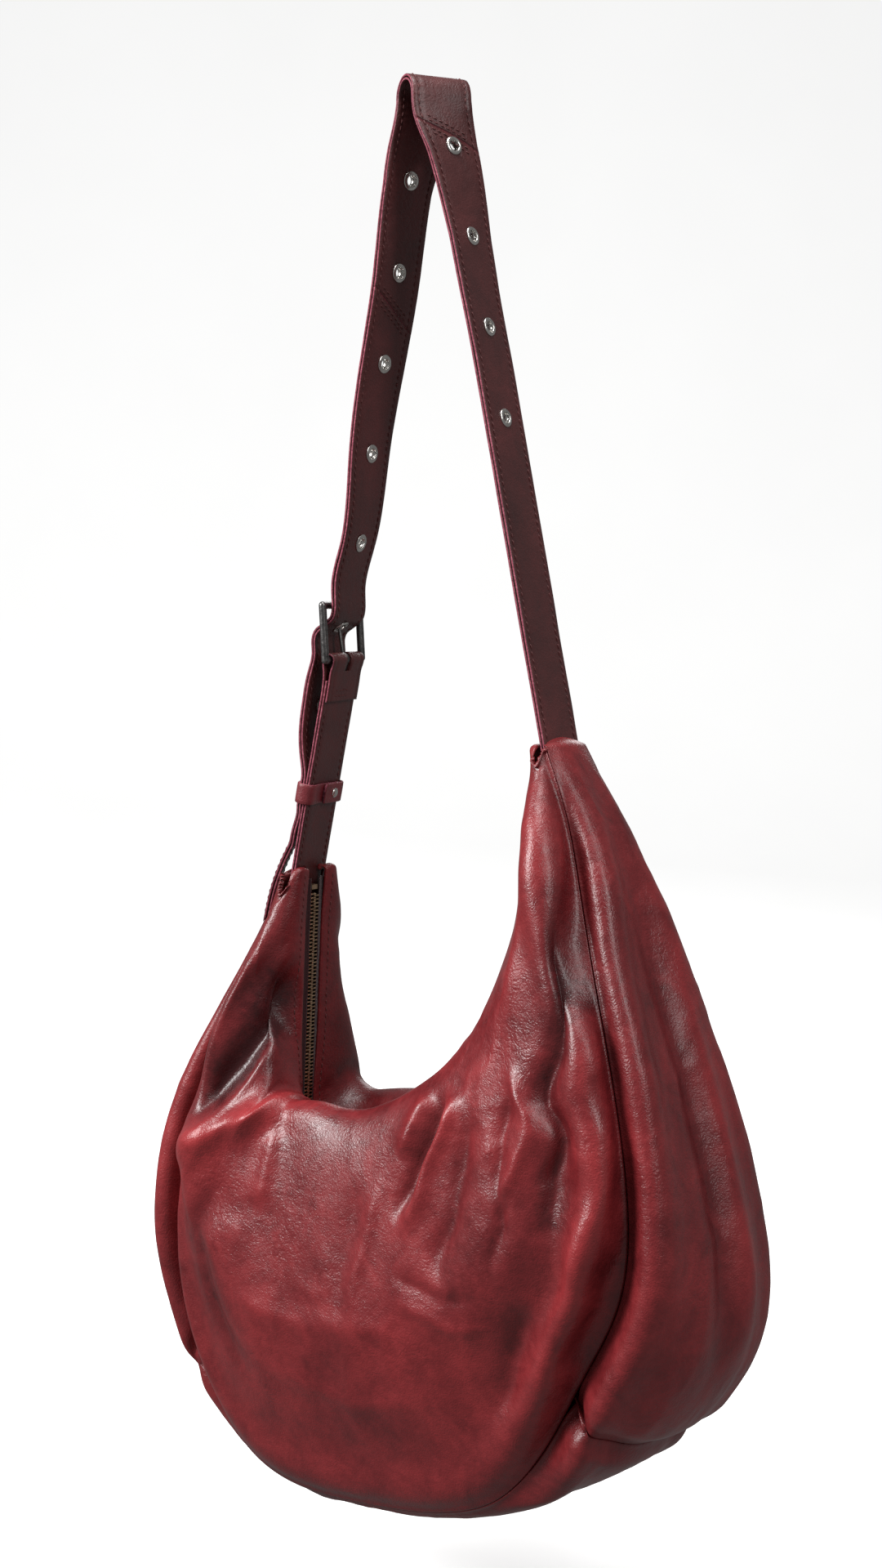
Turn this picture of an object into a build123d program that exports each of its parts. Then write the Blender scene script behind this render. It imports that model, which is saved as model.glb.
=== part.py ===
"""Hobo bag: a soft leather crescent that hangs from one buckled shoulder strap.

X runs along the bag (the right peak at +X), Y through its thickness (the front at -Y), Z up.
The origin lies on the axis of the rail that the strap hangs over.
"""
from build123d import *
import math
import os

# ---- leather, lining and seams (mm) ----
LEATHER = 1.8            # thickness of one panel
LINING = 0.8             # thickness of the lining
LINING_GAP = 1.0         # air between a panel and its lining
SEAM_GAP = 0.7           # between two panels at a seam
LINING_START = 0.27      # share of a panel's section from the zip that stays unlined
LINING_SHORT = 0.03      # share of a panel's section that the lining stops short of the seam
SEAM_REACH = 20.0        # how far a cross seam's cut reaches past the panels

# ---- bag body ----
BODY_THICKNESS = 156.0   # greatest distance through the bag, front to back
GUSSET_WIDTH = 128.0     # widest part of the end gusset, seam to seam
PEAK_ROOM = 2.5          # between a strap's edge and the seam beside it, where it goes into a peak

# ---- zip: a long arc, a tight corner and a straight left leg ----
ZIP_START = (84.0, -392.0)    # closed end, inside the right peak (x, z)
ZIP_ARC_END = (-52.0, -645.0)  # a point on the long arc, near the corner
ZIP_ARC_RISE = 60.0           # how far the long arc bows from its chord
ZIP_CORNER_RADIUS = 32.0
ZIP_FINISH = (-91.5, -473.0)  # other end, inside the left peak
ZIP_LEG_LEAN = 2.8            # lean of the left leg from upright, degrees
ZIP_OPENING = 13.0            # between the two leather edges
TOOTH_PITCH = 2.4
TOOTH_LENGTH = 1.05           # along the zip
TOOTH_WIDTH = 3.6             # across the zip
TOOTH_HEIGHT = 2.8
TOOTH_OVERLAP = 0.7           # how far a tooth reaches past the middle
TAPE_THICKNESS = 0.7
TAPE_COVER = 5.0              # how far the tape goes under the leather
SLIDER_LENGTH = 9.0
SLIDER_WIDTH = 9.6
SLIDER_PLATE = 1.0
SLIDER_CLEARANCE = 0.25
SLIDER_TRAVEL = 80.0          # along the long arc, degrees
PULL_LENGTH = 26.0
PULL_WIDTH = 7.0
PULL_THICKNESS = 1.2
PULL_PIN_RADIUS = 0.9

# ---- shoulder strap ----
RAIL_RADIUS = 9.5        # the rail, hook or shoulder line that the strap wraps
RAIL_TURN = 31.0         # rail direction, degrees from +Y towards +X
STRAP_WIDTH = 38.0
PEAK_WIDTH = STRAP_WIDTH + 2 * PEAK_ROOM   # width of a peak
STRAP_LAYER = 1.8        # one of its two layers
STRAP_LAYER_GAP = 0.2
RIGHT_PEAK = (89.5, 0.0, -380.0)   # where the right leg enters the bag
RIGHT_INSERT = 18.0      # how far the strap goes on inside the peak
LEFT_PEAK = (-98.5, 0.0, -470.0)   # where the buckle tab enters the bag

# ---- eyelets ----
EYELET_PITCH = 55.0
EYELET_FLANGE_RADIUS = 5.7
EYELET_HOLE_RADIUS = 3.2
EYELET_WALL = 0.5
EYELET_FLANGE = 0.6
EYELET_CLEARANCE = 0.3

# ---- buckle, its tab and the keeper ----
HEEL_BAR = (-69.0, 0.0, -334.0)    # centre of the buckle's heel bar
BUCKLE_TWIST = -8.0      # turn of the buckle about upright, degrees
TAIL_TWIST = -30.0       # the same turn at the strap's free end
BUCKLE_LEAN = -2.0       # lean of the frame from upright, degrees, outwards negative
BAR_RADIUS = 2.4
BUCKLE_OPENING = 34.0    # heel bar centre to far bar centre
BUCKLE_CLEARANCE = 1.2   # from the strap's edge to a side bar
PRONG_RADIUS = 1.1
PRONG_EYE = 1.3          # wall of the prong's eye
PRONG_OVERHANG = 3.5     # past the far bar's centre
PRONG_SLOT = 4.4         # width of the slot in the tab's fold
TAB_PLY = 1.8
TAB_FOLD_LENGTH = 26.0   # folded end, below the heel bar
TAB_INSERT = 22.0        # how far the tab goes on inside the left peak
KEEPER_PLACE = 86.0      # below the heel bar
KEEPER_WIDTH = 13.0
KEEPER_LEATHER = 1.6
KEEPER_CLEARANCE = 0.3
RIVET_RADIUS = 2.0
RIVET_HEAD_RADIUS = 3.2
RIVET_HEAD = 1.0
RIVET_PLACE = 8.0        # towards the back from the middle of the strap
RUNNING = 0.05           # radial clearance of a pin in its hole
SOFT_GAP = 0.3           # between leather and what it lies on

FORWARD = Vector(0, 1, 0)


def unit(vector):
    return vector * (1.0 / vector.length)


def blend(table, key):
    """Linear interpolation in a list of (key, value) pairs, ends held."""
    low = table[0]
    for high in table[1:]:
        if key <= high[0]:
            share = (key - low[0]) / (high[0] - low[0])
            return low[1] + (high[1] - low[1]) * min(max(share, 0.0), 1.0)
        low = high
    return low[1]


# ------------------------------------------------------------------ zip line
def long_arc():
    """Centre and radius of the arc that the slider runs on."""
    start = Vector(*ZIP_START)
    end = Vector(*ZIP_ARC_END)
    chord = end - start
    radius = ((chord.length / 2) ** 2 + ZIP_ARC_RISE ** 2) / (2 * ZIP_ARC_RISE)
    inward = unit(Vector(chord.Y, -chord.X))
    centre = (start + end) * 0.5 + inward * (radius - ZIP_ARC_RISE)
    return centre, radius


ARC_CENTRE, ARC_RADIUS = long_arc()


def zip_line():
    """The closed zip in the XZ plane: long arc, corner and left leg, as one wire."""
    lean = math.radians(ZIP_LEG_LEAN)
    down = Vector(-math.sin(lean), -math.cos(lean))
    across = Vector(math.cos(lean), -math.sin(lean))
    finish = Vector(*ZIP_FINISH)
    base = finish + across * ZIP_CORNER_RADIUS - ARC_CENTRE
    along = base.dot(down)
    reach = ARC_RADIUS - ZIP_CORNER_RADIUS
    drop = -along + math.sqrt(along ** 2 - base.dot(base) + reach ** 2)
    leg_end = finish + down * drop
    corner = leg_end + across * ZIP_CORNER_RADIUS
    outward = unit(corner - ARC_CENTRE)
    arc_end = ARC_CENTRE + outward * ARC_RADIUS
    bisector = unit(outward - across)
    corner_middle = corner + bisector * ZIP_CORNER_RADIUS
    start = Vector(*ZIP_START)
    arc_middle = ARC_CENTRE + unit((start + arc_end) * 0.5 - ARC_CENTRE) * ARC_RADIUS

    def lift(point):
        return Vector(point.X, 0, point.Y)
    return Wire([
        Edge.make_three_point_arc(lift(start), lift(arc_middle), lift(arc_end)),
        Edge.make_three_point_arc(lift(arc_end), lift(corner_middle), lift(leg_end)),
        Edge.make_line(lift(leg_end), lift(finish)),
    ])


ZIP_LINE = zip_line()
ZIP_LENGTH = ZIP_LINE.length


def zip_place(distance):
    """Point on the zip, its direction, and the direction into the bag."""
    share = min(max(distance / ZIP_LENGTH, 0.0), 1.0)
    point = ZIP_LINE.position_at(share)
    along = unit(ZIP_LINE.tangent_at(share))
    return point, along, along.cross(FORWARD)


# ------------------------------------------------------------- body stations
# One row per cross-section, from the right peak round the bottom to the left peak:
# place on the zip (share of its length, or a point for a peak), point on the outer edge (x, z),
# half thickness and half gusset width (shares of the greatest), height of the lips above
# the zip, and how far the gusset stands out past its front seam and past its back seam.
STATIONS = [
    ((82.5, -384.0), (98.0, -383.0), 0.31, 0.34, 0.0, 2.0, 2.0),
    (0.04, (119.0, -420.0), 0.42, 0.46, 2.0, 6.0, 5.0),
    (0.11, (137.0, -462.0), 0.57, 0.60, 5.0, 10.0, 8.0),
    (0.20, (158.0, -520.0), 0.74, 0.80, 8.0, 13.0, 9.0),
    (0.29, (181.0, -585.0), 0.87, 0.94, 10.0, 18.0, 12.0),
    (0.37, (202.0, -660.0), 0.96, 1.00, 12.0, 31.0, 16.0),
    (0.44, (201.0, -728.0), 1.00, 0.98, 18.0, 44.0, 18.0),
    (0.51, (160.0, -788.0), 1.00, 0.90, 26.0, 42.0, 15.0),
    (0.58, (82.0, -834.0), 1.00, 0.80, 34.0, 24.0, 12.0),
    (0.645, (-20.0, -853.0), 0.98, 0.76, 34.0, 13.0, 11.0),
    (0.695, (-105.0, -846.0), 0.96, 0.76, 26.0, 22.0, 14.0),
    (0.735, (-165.0, -802.0), 0.92, 0.76, 18.0, 38.0, 20.0),
    (0.775, (-197.0, -735.0), 0.85, 0.74, 12.0, 46.0, 25.0),
    (0.83, (-195.0, -660.0), 0.72, 0.66, 8.0, 38.0, 24.0),
    (0.885, (-168.0, -588.0), 0.57, 0.52, 5.0, 24.0, 17.0),
    (0.94, (-134.0, -522.0), 0.42, 0.40, 2.0, 10.0, 9.0),
    ((-90.0, -469.0), (-107.0, -470.0), 0.31, 0.34, 0.0, 2.0, 2.0),
]
GUSSET_END_RIGHT = 7     # the base panel starts at this station
GUSSET_END_LEFT = 11     # and ends at this one


class Station:
    """One cross-section: v runs along Y, w from the zip to the outer edge."""

    def __init__(self, row):
        place, outer, thick, wide, self.lip, front_stand, back_stand = row
        self.stand = {-1.0: front_stand, 1.0: back_stand}
        if isinstance(place, tuple):
            self.inner = Vector(place[0], 0, place[1])
        else:
            self.inner = zip_place(place * ZIP_LENGTH)[0]
        self.outer = Vector(outer[0], 0, outer[1])
        self.depth = (self.outer - self.inner).length
        self.out = unit(self.outer - self.inner)
        self.half = max(thick * BODY_THICKNESS / 2, PEAK_WIDTH / 2)
        self.seam = max(wide * GUSSET_WIDTH / 2, PEAK_WIDTH / 2 - 1.5)

    def at(self, v, w):
        return self.inner + FORWARD * v + self.out * w

    def side(self, sign):
        """Outer face of one half, zip edge to gusset seam, as (v, w) points with v positive."""
        edge = ZIP_OPENING / 2
        stand = self.stand[sign]
        return [
            (edge, 0.0),
            (edge + (self.half - edge) * 0.5, -self.lip),
            (self.half * 0.93, self.depth * 0.20),
            (self.half, self.depth * 0.5),
            (self.half * 0.3 + self.seam * 0.7, self.depth - stand - self.depth * 0.16),
            (self.seam, self.depth - stand),
        ]


BODY = [Station(row) for row in STATIONS]


SHEET_POINTS = 10        # points on each curve of a cross-section


def face_curve(points, first, last):
    """Places and directions along the smooth outer face, between two shares of it."""
    curve = Edge.make_spline([Vector(v, w) for v, w in points])
    shares = [first + (last - first) * index / SHEET_POINTS for index in range(SHEET_POINTS + 1)]
    return [(curve.position_at(share), unit(curve.tangent_at(share))) for share in shares]


def inward_of(direction, into):
    return Vector(-direction.Y, direction.X) * into


def mitre(place, direction, other_direction, into):
    """Where the inner faces of two sheets meet that share a corner on their outer faces."""
    mine = inward_of(direction, into)
    other = inward_of(other_direction, into)
    bisector = unit(mine + other)
    return bisector * (LEATHER / bisector.dot(mine))


def strip_curve(station):
    front = station.stand[-1.0]
    back = station.stand[1.0]
    return [
        (-station.seam, station.depth - front),
        (-station.seam * 0.64, station.depth - front * 0.25),
        (0.0, station.depth),
        (station.seam * 0.62, station.depth - back * 0.22),
        (station.seam, station.depth - back),
    ]


def corner(station, sign):
    """At one seam: its place, the panel's direction, the strip's direction and the mitre, v positive."""
    place, side_way = face_curve(station.side(sign), 0.0, 1.0)[-1]
    strip = face_curve(strip_curve(station), 0.0, 1.0)
    strip_way = strip[-1][1] if sign > 0 else Vector(strip[0][1].X, -strip[0][1].Y)
    return place, side_way, strip_way, mitre(place, side_way, strip_way * -1.0, 1.0)


def side_section(station, offset, thickness, first, last, sign):
    """Outer and inner points of one side panel's section, with v positive."""
    run = face_curve(station.side(sign), first, last)
    outer = [place + inward_of(way, 1.0) * offset for place, way in run]
    inner = [place + inward_of(way, 1.0) * (offset + thickness) for place, way in run]
    if offset == 0.0:
        place, side_way, strip_way, inside = corner(station, sign)
        outer[-1] = place - side_way * (SEAM_GAP / 2)
        inner[-1] = place + inside - side_way * (SEAM_GAP / 2)
    return outer, inner


def strip_section(station, offset, thickness, first, last, sign):
    """Outer and inner points of the gusset strip's section, front seam to back seam."""
    run = face_curve(strip_curve(station), first, last)
    outer = [place + inward_of(way, -1.0) * offset for place, way in run]
    inner = [place + inward_of(way, -1.0) * (offset + thickness) for place, way in run]
    if offset == 0.0:
        for end, half in ((0, -1.0), (-1, 1.0)):
            place, side_way, strip_way, inside = corner(station, half)
            at = place - strip_way * (SEAM_GAP / 2)
            within = at + inside
            outer[end] = Vector(at.X * half, at.Y)
            inner[end] = Vector(within.X * half, within.Y)
    return outer, inner


def sheet_solid(stations, section, offset, thickness, share, sign=1.0):
    """A curved sheet of one thickness, lofted through cross-sections."""
    wires = []
    mirror = sign if section is side_section else 1.0
    for station in stations:
        outer, inner = section(station, offset, thickness, share[0], share[1], sign)
        outside = [station.at(mirror * point.X, point.Y) for point in outer]
        inside = [station.at(mirror * point.X, point.Y) for point in reversed(inner)]
        wires.append(Wire([
            Edge.make_spline(outside),
            Edge.make_line(outside[-1], inside[0]),
            Edge.make_spline(inside),
            Edge.make_line(inside[-1], outside[0]),
        ]))
    return Solid.make_loft(wires, ruled=False)


def cut_at(sheet, station, gap):
    """A sheet cut through at one station, on that station's side of the bag only."""
    reach = 2 * SEAM_REACH
    middle = station.at(0.0, station.depth / 2)
    across = unit(station.out.cross(FORWARD))
    plane = Plane(origin=middle, x_dir=station.out, z_dir=across)
    return sheet - plane.location * Box(station.depth + reach, BODY_THICKNESS + reach, gap)


def pieces_of(sheet, stations, gap):
    """The pieces of a sheet between cuts, from the right peak round to the left peak."""
    for station in stations:
        sheet = cut_at(sheet, station, gap)
    left_to_right = sorted(sheet.solids(), key=lambda piece: piece.center().X)
    return left_to_right[::-1]


def lined_part(section, share, sign=1.0):
    """A lining that follows its panel, without the ends inside the two peaks."""
    sheet = sheet_solid(BODY, section, LEATHER + LINING_GAP, LINING, share, sign)
    pieces = pieces_of(sheet, (BODY[1], BODY[-2]), SEAM_GAP)
    return max(pieces, key=lambda piece: piece.volume)


def body_nodes():
    """The five leather panels, and the three linings inside them."""
    whole = (0.0, 1.0)
    side = (LINING_START, 1.0 - LINING_SHORT)
    strip = (LINING_SHORT * 2, 1.0 - LINING_SHORT * 2)
    around = sheet_solid(BODY, strip_section, 0.0, LEATHER, whole)
    ends = (BODY[GUSSET_END_RIGHT], BODY[GUSSET_END_LEFT])
    right, base, left = pieces_of(around, ends, SEAM_GAP)
    return {
        "front_panel": sheet_solid(BODY, side_section, 0.0, LEATHER, whole, -1.0),
        "back_panel": sheet_solid(BODY, side_section, 0.0, LEATHER, whole),
        "gusset_right": right,
        "base_panel": base,
        "gusset_left": left,
        "lining_front": lined_part(side_section, side, -1.0),
        "lining_back": lined_part(side_section, side),
        "lining_gusset": lined_part(strip_section, strip),
    }


# ----------------------------------------------------------------------- zip
def zip_plane(distance):
    """Local axes on the zip: x along it, y towards the back, z out of the bag."""
    point, along, inward = zip_place(distance)
    return Plane(origin=point, x_dir=along * -1.0, z_dir=inward * -1.0)


TAPE_TOP = LEATHER + 0.35                # under the leather's edge
TEETH_MIDDLE = TAPE_TOP + TAPE_THICKNESS / 2
TEETH_TOP = TEETH_MIDDLE - TOOTH_HEIGHT / 2
TEETH_BASE = TEETH_MIDDLE + TOOTH_HEIGHT / 2
TEETH_EDGE = TOOTH_WIDTH - TOOTH_OVERLAP


def tape(sign):
    """One zip tape: a flat strip along the zip, from the teeth to under the leather."""
    near = sign * (TEETH_EDGE + 0.15)
    far = sign * (ZIP_OPENING / 2 + TAPE_COVER)
    wires = []
    steps = 30
    for index in range(steps + 1):
        plane = zip_plane(ZIP_LENGTH * index / steps)
        corners = [(near, TAPE_TOP), (far, TAPE_TOP), (far, TAPE_TOP + TAPE_THICKNESS),
                   (near, TAPE_TOP + TAPE_THICKNESS)]
        wires.append(Wire.make_polygon([plane.from_local_coords(Vector(0, y, -z)) for y, z in corners]))
    return Solid.make_loft(wires, ruled=True)


def box_on_zip(distance, length, y_low, y_high, depth_low, depth_high):
    """A small block on the zip: depth counts from the leather's outer face into the bag."""
    plane = zip_plane(distance)
    block = Box(length, y_high - y_low, depth_high - depth_low)
    middle = Vector(0, (y_low + y_high) / 2, -(depth_low + depth_high) / 2)
    return plane.location * Location(middle) * block


def teeth(sign, first):
    """One row of teeth, each reaching a little past the middle of the zip."""
    row = []
    distance = first
    while distance < ZIP_LENGTH - 4 * TOOTH_PITCH:
        inner = -sign * TOOTH_OVERLAP
        outer = sign * TEETH_EDGE
        row.append(box_on_zip(distance, TOOTH_LENGTH, min(inner, outer), max(inner, outer),
                              TEETH_TOP, TEETH_BASE))
        distance += TOOTH_PITCH
    return Compound(children=row)


STOP_PLACE = 3.0
FIRST_TOOTH = STOP_PLACE + 3.0
SLIDER_PLACE = FIRST_TOOTH + SLIDER_LENGTH / 2 + 1.0


def zip_stops():
    pair = []
    for sign in (-1.0, 1.0):
        near = sign * 0.6
        far = sign * (TEETH_EDGE + 0.1)
        pair.append(box_on_zip(STOP_PLACE, 3.0, min(near, far), max(near, far), TEETH_TOP, TEETH_BASE))
    bottom = box_on_zip(ZIP_LENGTH - 2.5 * TOOTH_PITCH, 3.0, -TEETH_EDGE, TEETH_EDGE,
                        TEETH_TOP, TEETH_BASE)
    return Compound(children=pair), bottom


LUG_HEIGHT = 3.4         # height of the slider's lug over its upper plate
LUG_LENGTH = 5.0
LUG_WIDTH = 2.4


def lug_pin_plane():
    """Axis of the pull's pin, across the zip above the slider."""
    plane = zip_plane(SLIDER_PLACE)
    top = TEETH_TOP - SLIDER_CLEARANCE - SLIDER_PLATE
    centre = plane.from_local_coords(Vector(0, 0, -top + LUG_HEIGHT / 2 + 0.2))
    return Plane(origin=centre, x_dir=plane.x_dir, z_dir=FORWARD)


def zip_slider():
    """The slider's two plates with their side flanges, and the lug that holds the pull."""
    half = SLIDER_WIDTH / 2
    flange = half - TEETH_EDGE - SLIDER_CLEARANCE
    top = TEETH_TOP - SLIDER_CLEARANCE
    base = TEETH_BASE + SLIDER_CLEARANCE
    upper = box_on_zip(SLIDER_PLACE, SLIDER_LENGTH, -half, half, top - SLIDER_PLATE, top)
    lower = box_on_zip(SLIDER_PLACE, SLIDER_LENGTH, -half, half, base, base + SLIDER_PLATE)
    tape_low = TAPE_TOP - SLIDER_CLEARANCE
    tape_high = TAPE_TOP + TAPE_THICKNESS + SLIDER_CLEARANCE
    for sign in (-1.0, 1.0):
        y_low = min(sign * half, sign * (half - flange))
        y_high = max(sign * half, sign * (half - flange))
        upper += box_on_zip(SLIDER_PLACE, SLIDER_LENGTH, y_low, y_high, top - 0.1, tape_low)
        lower += box_on_zip(SLIDER_PLACE, SLIDER_LENGTH, y_low, y_high, tape_high, base + 0.1)
    lug = box_on_zip(SLIDER_PLACE, LUG_LENGTH, -LUG_WIDTH / 2, LUG_WIDTH / 2,
                     top - SLIDER_PLATE - LUG_HEIGHT, top - SLIDER_PLATE + 0.1)
    pin = lug_pin_plane()
    bore = pin.location * Cylinder(PULL_PIN_RADIUS + RUNNING, LUG_WIDTH * 2)
    return upper + lug - bore, lower


def zip_pull():
    """The pull: a flat tongue with two ears and a pin through the slider's lug.

    It hangs straight down from its pin.
    """
    pin = lug_pin_plane()
    ear_gap = LUG_WIDTH / 2 + 0.25
    ear = 1.2
    tongue_start = LUG_LENGTH / 2 + LUG_HEIGHT
    # local frame of the pull: x down, z along the pin
    hang = Plane(origin=pin.origin, x_dir=Vector(0, 0, -1), z_dir=FORWARD)
    body = Cylinder(PULL_PIN_RADIUS, 2 * (ear_gap + ear))
    for sign in (-1.0, 1.0):
        place = sign * (ear_gap + ear / 2)
        body += Location((tongue_start / 2, 0, place)) * Box(tongue_start + 1.0, 2.4, ear)
        body += Location((0, 0, place)) * Cylinder(1.6, ear)
    width = 2 * (ear_gap + ear)
    body += Location((tongue_start + 1.0, 0, 0)) * Box(2.0, PULL_THICKNESS, width)
    tongue = Location((tongue_start + PULL_LENGTH / 2, 0, 0)) * Box(PULL_LENGTH, PULL_THICKNESS, PULL_WIDTH)
    hole = Location((tongue_start + PULL_LENGTH - 5.0, 0, 0)) * Rotation(90, 0, 0) * Cylinder(1.6, 9)
    return hang.location * (body + tongue - hole)


# -------------------------------------------------------------- strap path
RAIL_AXIS = Vector(math.sin(math.radians(RAIL_TURN)), math.cos(math.radians(RAIL_TURN)), 0)
RAIL_SIDE = Vector(RAIL_AXIS.Y, -RAIL_AXIS.X, 0)
STRAP_THICKNESS = 2 * STRAP_LAYER + STRAP_LAYER_GAP
WRAP_RADIUS = RAIL_RADIUS + STRAP_THICKNESS / 2

# Turn of the strap about upright, in degrees, at a height below the rail's axis.
# It stays square to the rail until it has left it, so that a rail can slide in.
RIGHT_TWIST = [(0.0, RAIL_TURN), (RAIL_RADIUS, RAIL_TURN), (30.0, 17.0), (85.0, 3.0), (140.0, 0.0)]
LEFT_TWIST = [(0.0, RAIL_TURN), (RAIL_RADIUS, RAIL_TURN), (50.0, 12.0), (104.0, 8.0), (158.0, 6.0),
              (211.0, 0.0), (263.0, -7.0), (290.0, BUCKLE_TWIST), (432.0, BUCKLE_TWIST), (490.0, TAIL_TWIST)]

# The strap's middle line past the buckle: outwards from the bag, up from the heel bar.
# The first part lies in the frame's own plane, and is straight across the prong's hole.
BUCKLE_LINE = [(-6.0, 44.0), (-5.7, 35.0), (-4.9, 28.6), (-2.5, 24.3), (0.0, 22.85), (2.4, 21.4),
               (4.8, 19.95), (7.2, 18.5), (10.2, 13.6)]
PRONG_HOLE = (2.4, 21.4)
# The second part lies in the tab's plane, and is straight inside the keeper.
TAIL_LINE = [(11.4, 2.0), (12.0, -12.0), (12.2, -30.0), (10.8, -50.0), (6.6, -66.0), (4.0, -75.0),
             (4.0, -86.0), (4.0, -97.0), (8.6, -108.0), (15.0, -122.0), (21.5, -138.0),
             (29.0, -156.0), (37.0, -178.0)]


def tilted_plane(up):
    """Frame at the heel bar: x across the strap, y outwards from the bag, z along up."""
    turn = math.radians(BUCKLE_TWIST)
    across = Vector(math.sin(turn), math.cos(turn), 0)
    across = unit(across - up * across.dot(up))
    return Plane(origin=Vector(*HEEL_BAR), x_dir=across, z_dir=up)


TAB_UP = unit(Vector(*HEEL_BAR) - Vector(*LEFT_PEAK))
TAB = tilted_plane(TAB_UP)
# The frame turns about the same heel bar axis as the tab's fold.
FRAME_TURN = math.atan2(TAB_UP.X, TAB_UP.Z) - math.radians(BUCKLE_LEAN)
BUCKLE = Plane(origin=TAB.origin, x_dir=TAB.x_dir,
               z_dir=TAB.z_dir * math.cos(FRAME_TURN) + TAB.y_dir * math.sin(FRAME_TURN))


def in_buckle(out, up, across=0.0):
    return BUCKLE.from_local_coords(Vector(across, out, up))


def in_tab(out, up, across=0.0):
    return TAB.from_local_coords(Vector(across, out, up))


class Leg:
    """A stretch of strap on a smooth line, with its turn about upright along the way."""

    def __init__(self, points, turn_at):
        self.line = Edge.make_spline(points, tangents=[Vector(0, 0, -1), unit(points[-1] - points[-2])])
        self.turn_at = turn_at

    def frame(self, share):
        """Centre, direction, direction across, and outward normal."""
        point = self.line.position_at(share)
        along = unit(self.line.tangent_at(share))
        turn = math.radians(self.turn_at(point))
        across = Vector(math.sin(turn), math.cos(turn), 0)
        across = unit(across - along * across.dot(along))
        return point, along, across

    def layer(self, low, high, shares, side):
        """One layer of leather between two distances from the middle, outward positive."""
        wires = []
        for share in shares:
            point, along, across = self.frame(share)
            normal = across.cross(along) * side
            half = across * (STRAP_WIDTH / 2)
            wires.append(Wire.make_polygon([
                point - half + normal * low, point + half + normal * low,
                point + half + normal * high, point - half + normal * high]))
        return Solid.make_loft(wires, ruled=False)


def right_leg():
    top = RAIL_SIDE * WRAP_RADIUS
    end = Vector(*RIGHT_PEAK)
    lean = Vector(RIGHT_PEAK[0] - 10.0, 0, RIGHT_PEAK[2])
    start = Vector(10.0, 0, 0)
    points = [top, Vector(14.5, -3.6, -26.0)]
    points += [start + lean * share + FORWARD * (-1.6 * (share < 0.3)) for share in (0.2, 0.45, 0.7)]
    points += [end, end + unit(lean) * RIGHT_INSERT]
    return Leg(points, lambda point: blend(RIGHT_TWIST, -point.Z))


def left_leg():
    top = RAIL_SIDE * -WRAP_RADIUS
    points = [top, Vector(-16.0, 4.0, -28.0), Vector(-29.5, 2.0, -104.0), Vector(-40.0, 0.6, -158.0),
              Vector(-49.0, 0, -211.0)]
    points += [Vector(-57.5, 0, -262.6)]
    points += [in_buckle(out, up) for out, up in BUCKLE_LINE]
    points += [in_tab(out, up) for out, up in TAIL_LINE]
    return Leg(points, lambda point: blend(LEFT_TWIST, -point.Z))


def wrap(low, high):
    """The half turn of one layer over the rail."""
    place = Plane(origin=(0, 0, 0), x_dir=RAIL_SIDE, z_dir=RAIL_AXIS * -1.0)
    ring = Cylinder(high, STRAP_WIDTH) - Cylinder(low, STRAP_WIDTH + 2)
    keep = Location((0, high, 0)) * Box(4 * high, 2 * high, STRAP_WIDTH + 4)
    half = place.location * (ring & keep)
    if half.center().Z < 0:
        keep = Location((0, -high, 0)) * Box(4 * high, 2 * high, STRAP_WIDTH + 4)
        half = place.location * (ring & keep)
    return half


def steps(count, start=0.0, end=1.0):
    return [start + (end - start) * index / count for index in range(count + 1)]


def beside_rail(leg):
    """Shares of a leg's length where its layer is cut square, while it is beside the rail."""
    return [RAIL_RADIUS * part / leg.line.length for part in (0.0, 0.5, 1.0)]


RIGHT = right_leg()
LEFT = left_leg()
PRONG_POINT = in_buckle(*PRONG_HOLE)


def left_share(point):
    return LEFT.line.param_at_point(point)


def eyelet_places():
    """(leg, share, side) of every eyelet: both legs, the prong's hole and one in the tail."""
    places = []
    right_length = RIGHT.line.length
    for index in range(4):
        places.append((RIGHT, (31.0 + index * EYELET_PITCH) / right_length, -1.0))
    left_length = LEFT.line.length
    prong = left_share(PRONG_POINT)
    for index in range(-5, 2):
        places.append((LEFT, prong + index * EYELET_PITCH / left_length, 1.0))
    return places


def ring_at(leg, share, side, radius_out, radius_in, low, high):
    """A ring round an eyelet's axis, between two distances from the strap's middle."""
    point, along, across = leg.frame(share)
    normal = across.cross(along) * side
    plane = Plane(origin=point + normal * ((low + high) / 2), x_dir=along, z_dir=normal)
    ring = Cylinder(radius_out, high - low)
    if radius_in > 0:
        ring -= Cylinder(radius_in, (high - low) * 3)
    return plane.location * ring


SPLICE_GAP = 0.3
SPLICE_LEAN = 32.0       # lean of a splice from square across the strap, degrees
OUTER_SPLICE = 0.058     # share of the right leg's length
INNER_SPLICE = 0.235     # share of the left leg's length
BIG = 1400.0


def split_leg(layer, leg, share, side):
    """A layer cut on a diagonal: its near part and its far part."""
    point, along, across = leg.frame(share)
    normal = across.cross(along) * side
    lean = math.radians(SPLICE_LEAN)
    facing = along * math.cos(lean) - across * math.sin(lean)
    parts = []
    for way in (1.0, -1.0):
        centre = point + facing * (way * (BIG / 2 - SPLICE_GAP / 2))
        plane = Plane(origin=centre, x_dir=normal, z_dir=facing)
        parts.append(layer - plane.location * Box(BIG, BIG, BIG))
    return parts[0], parts[1]


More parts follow.
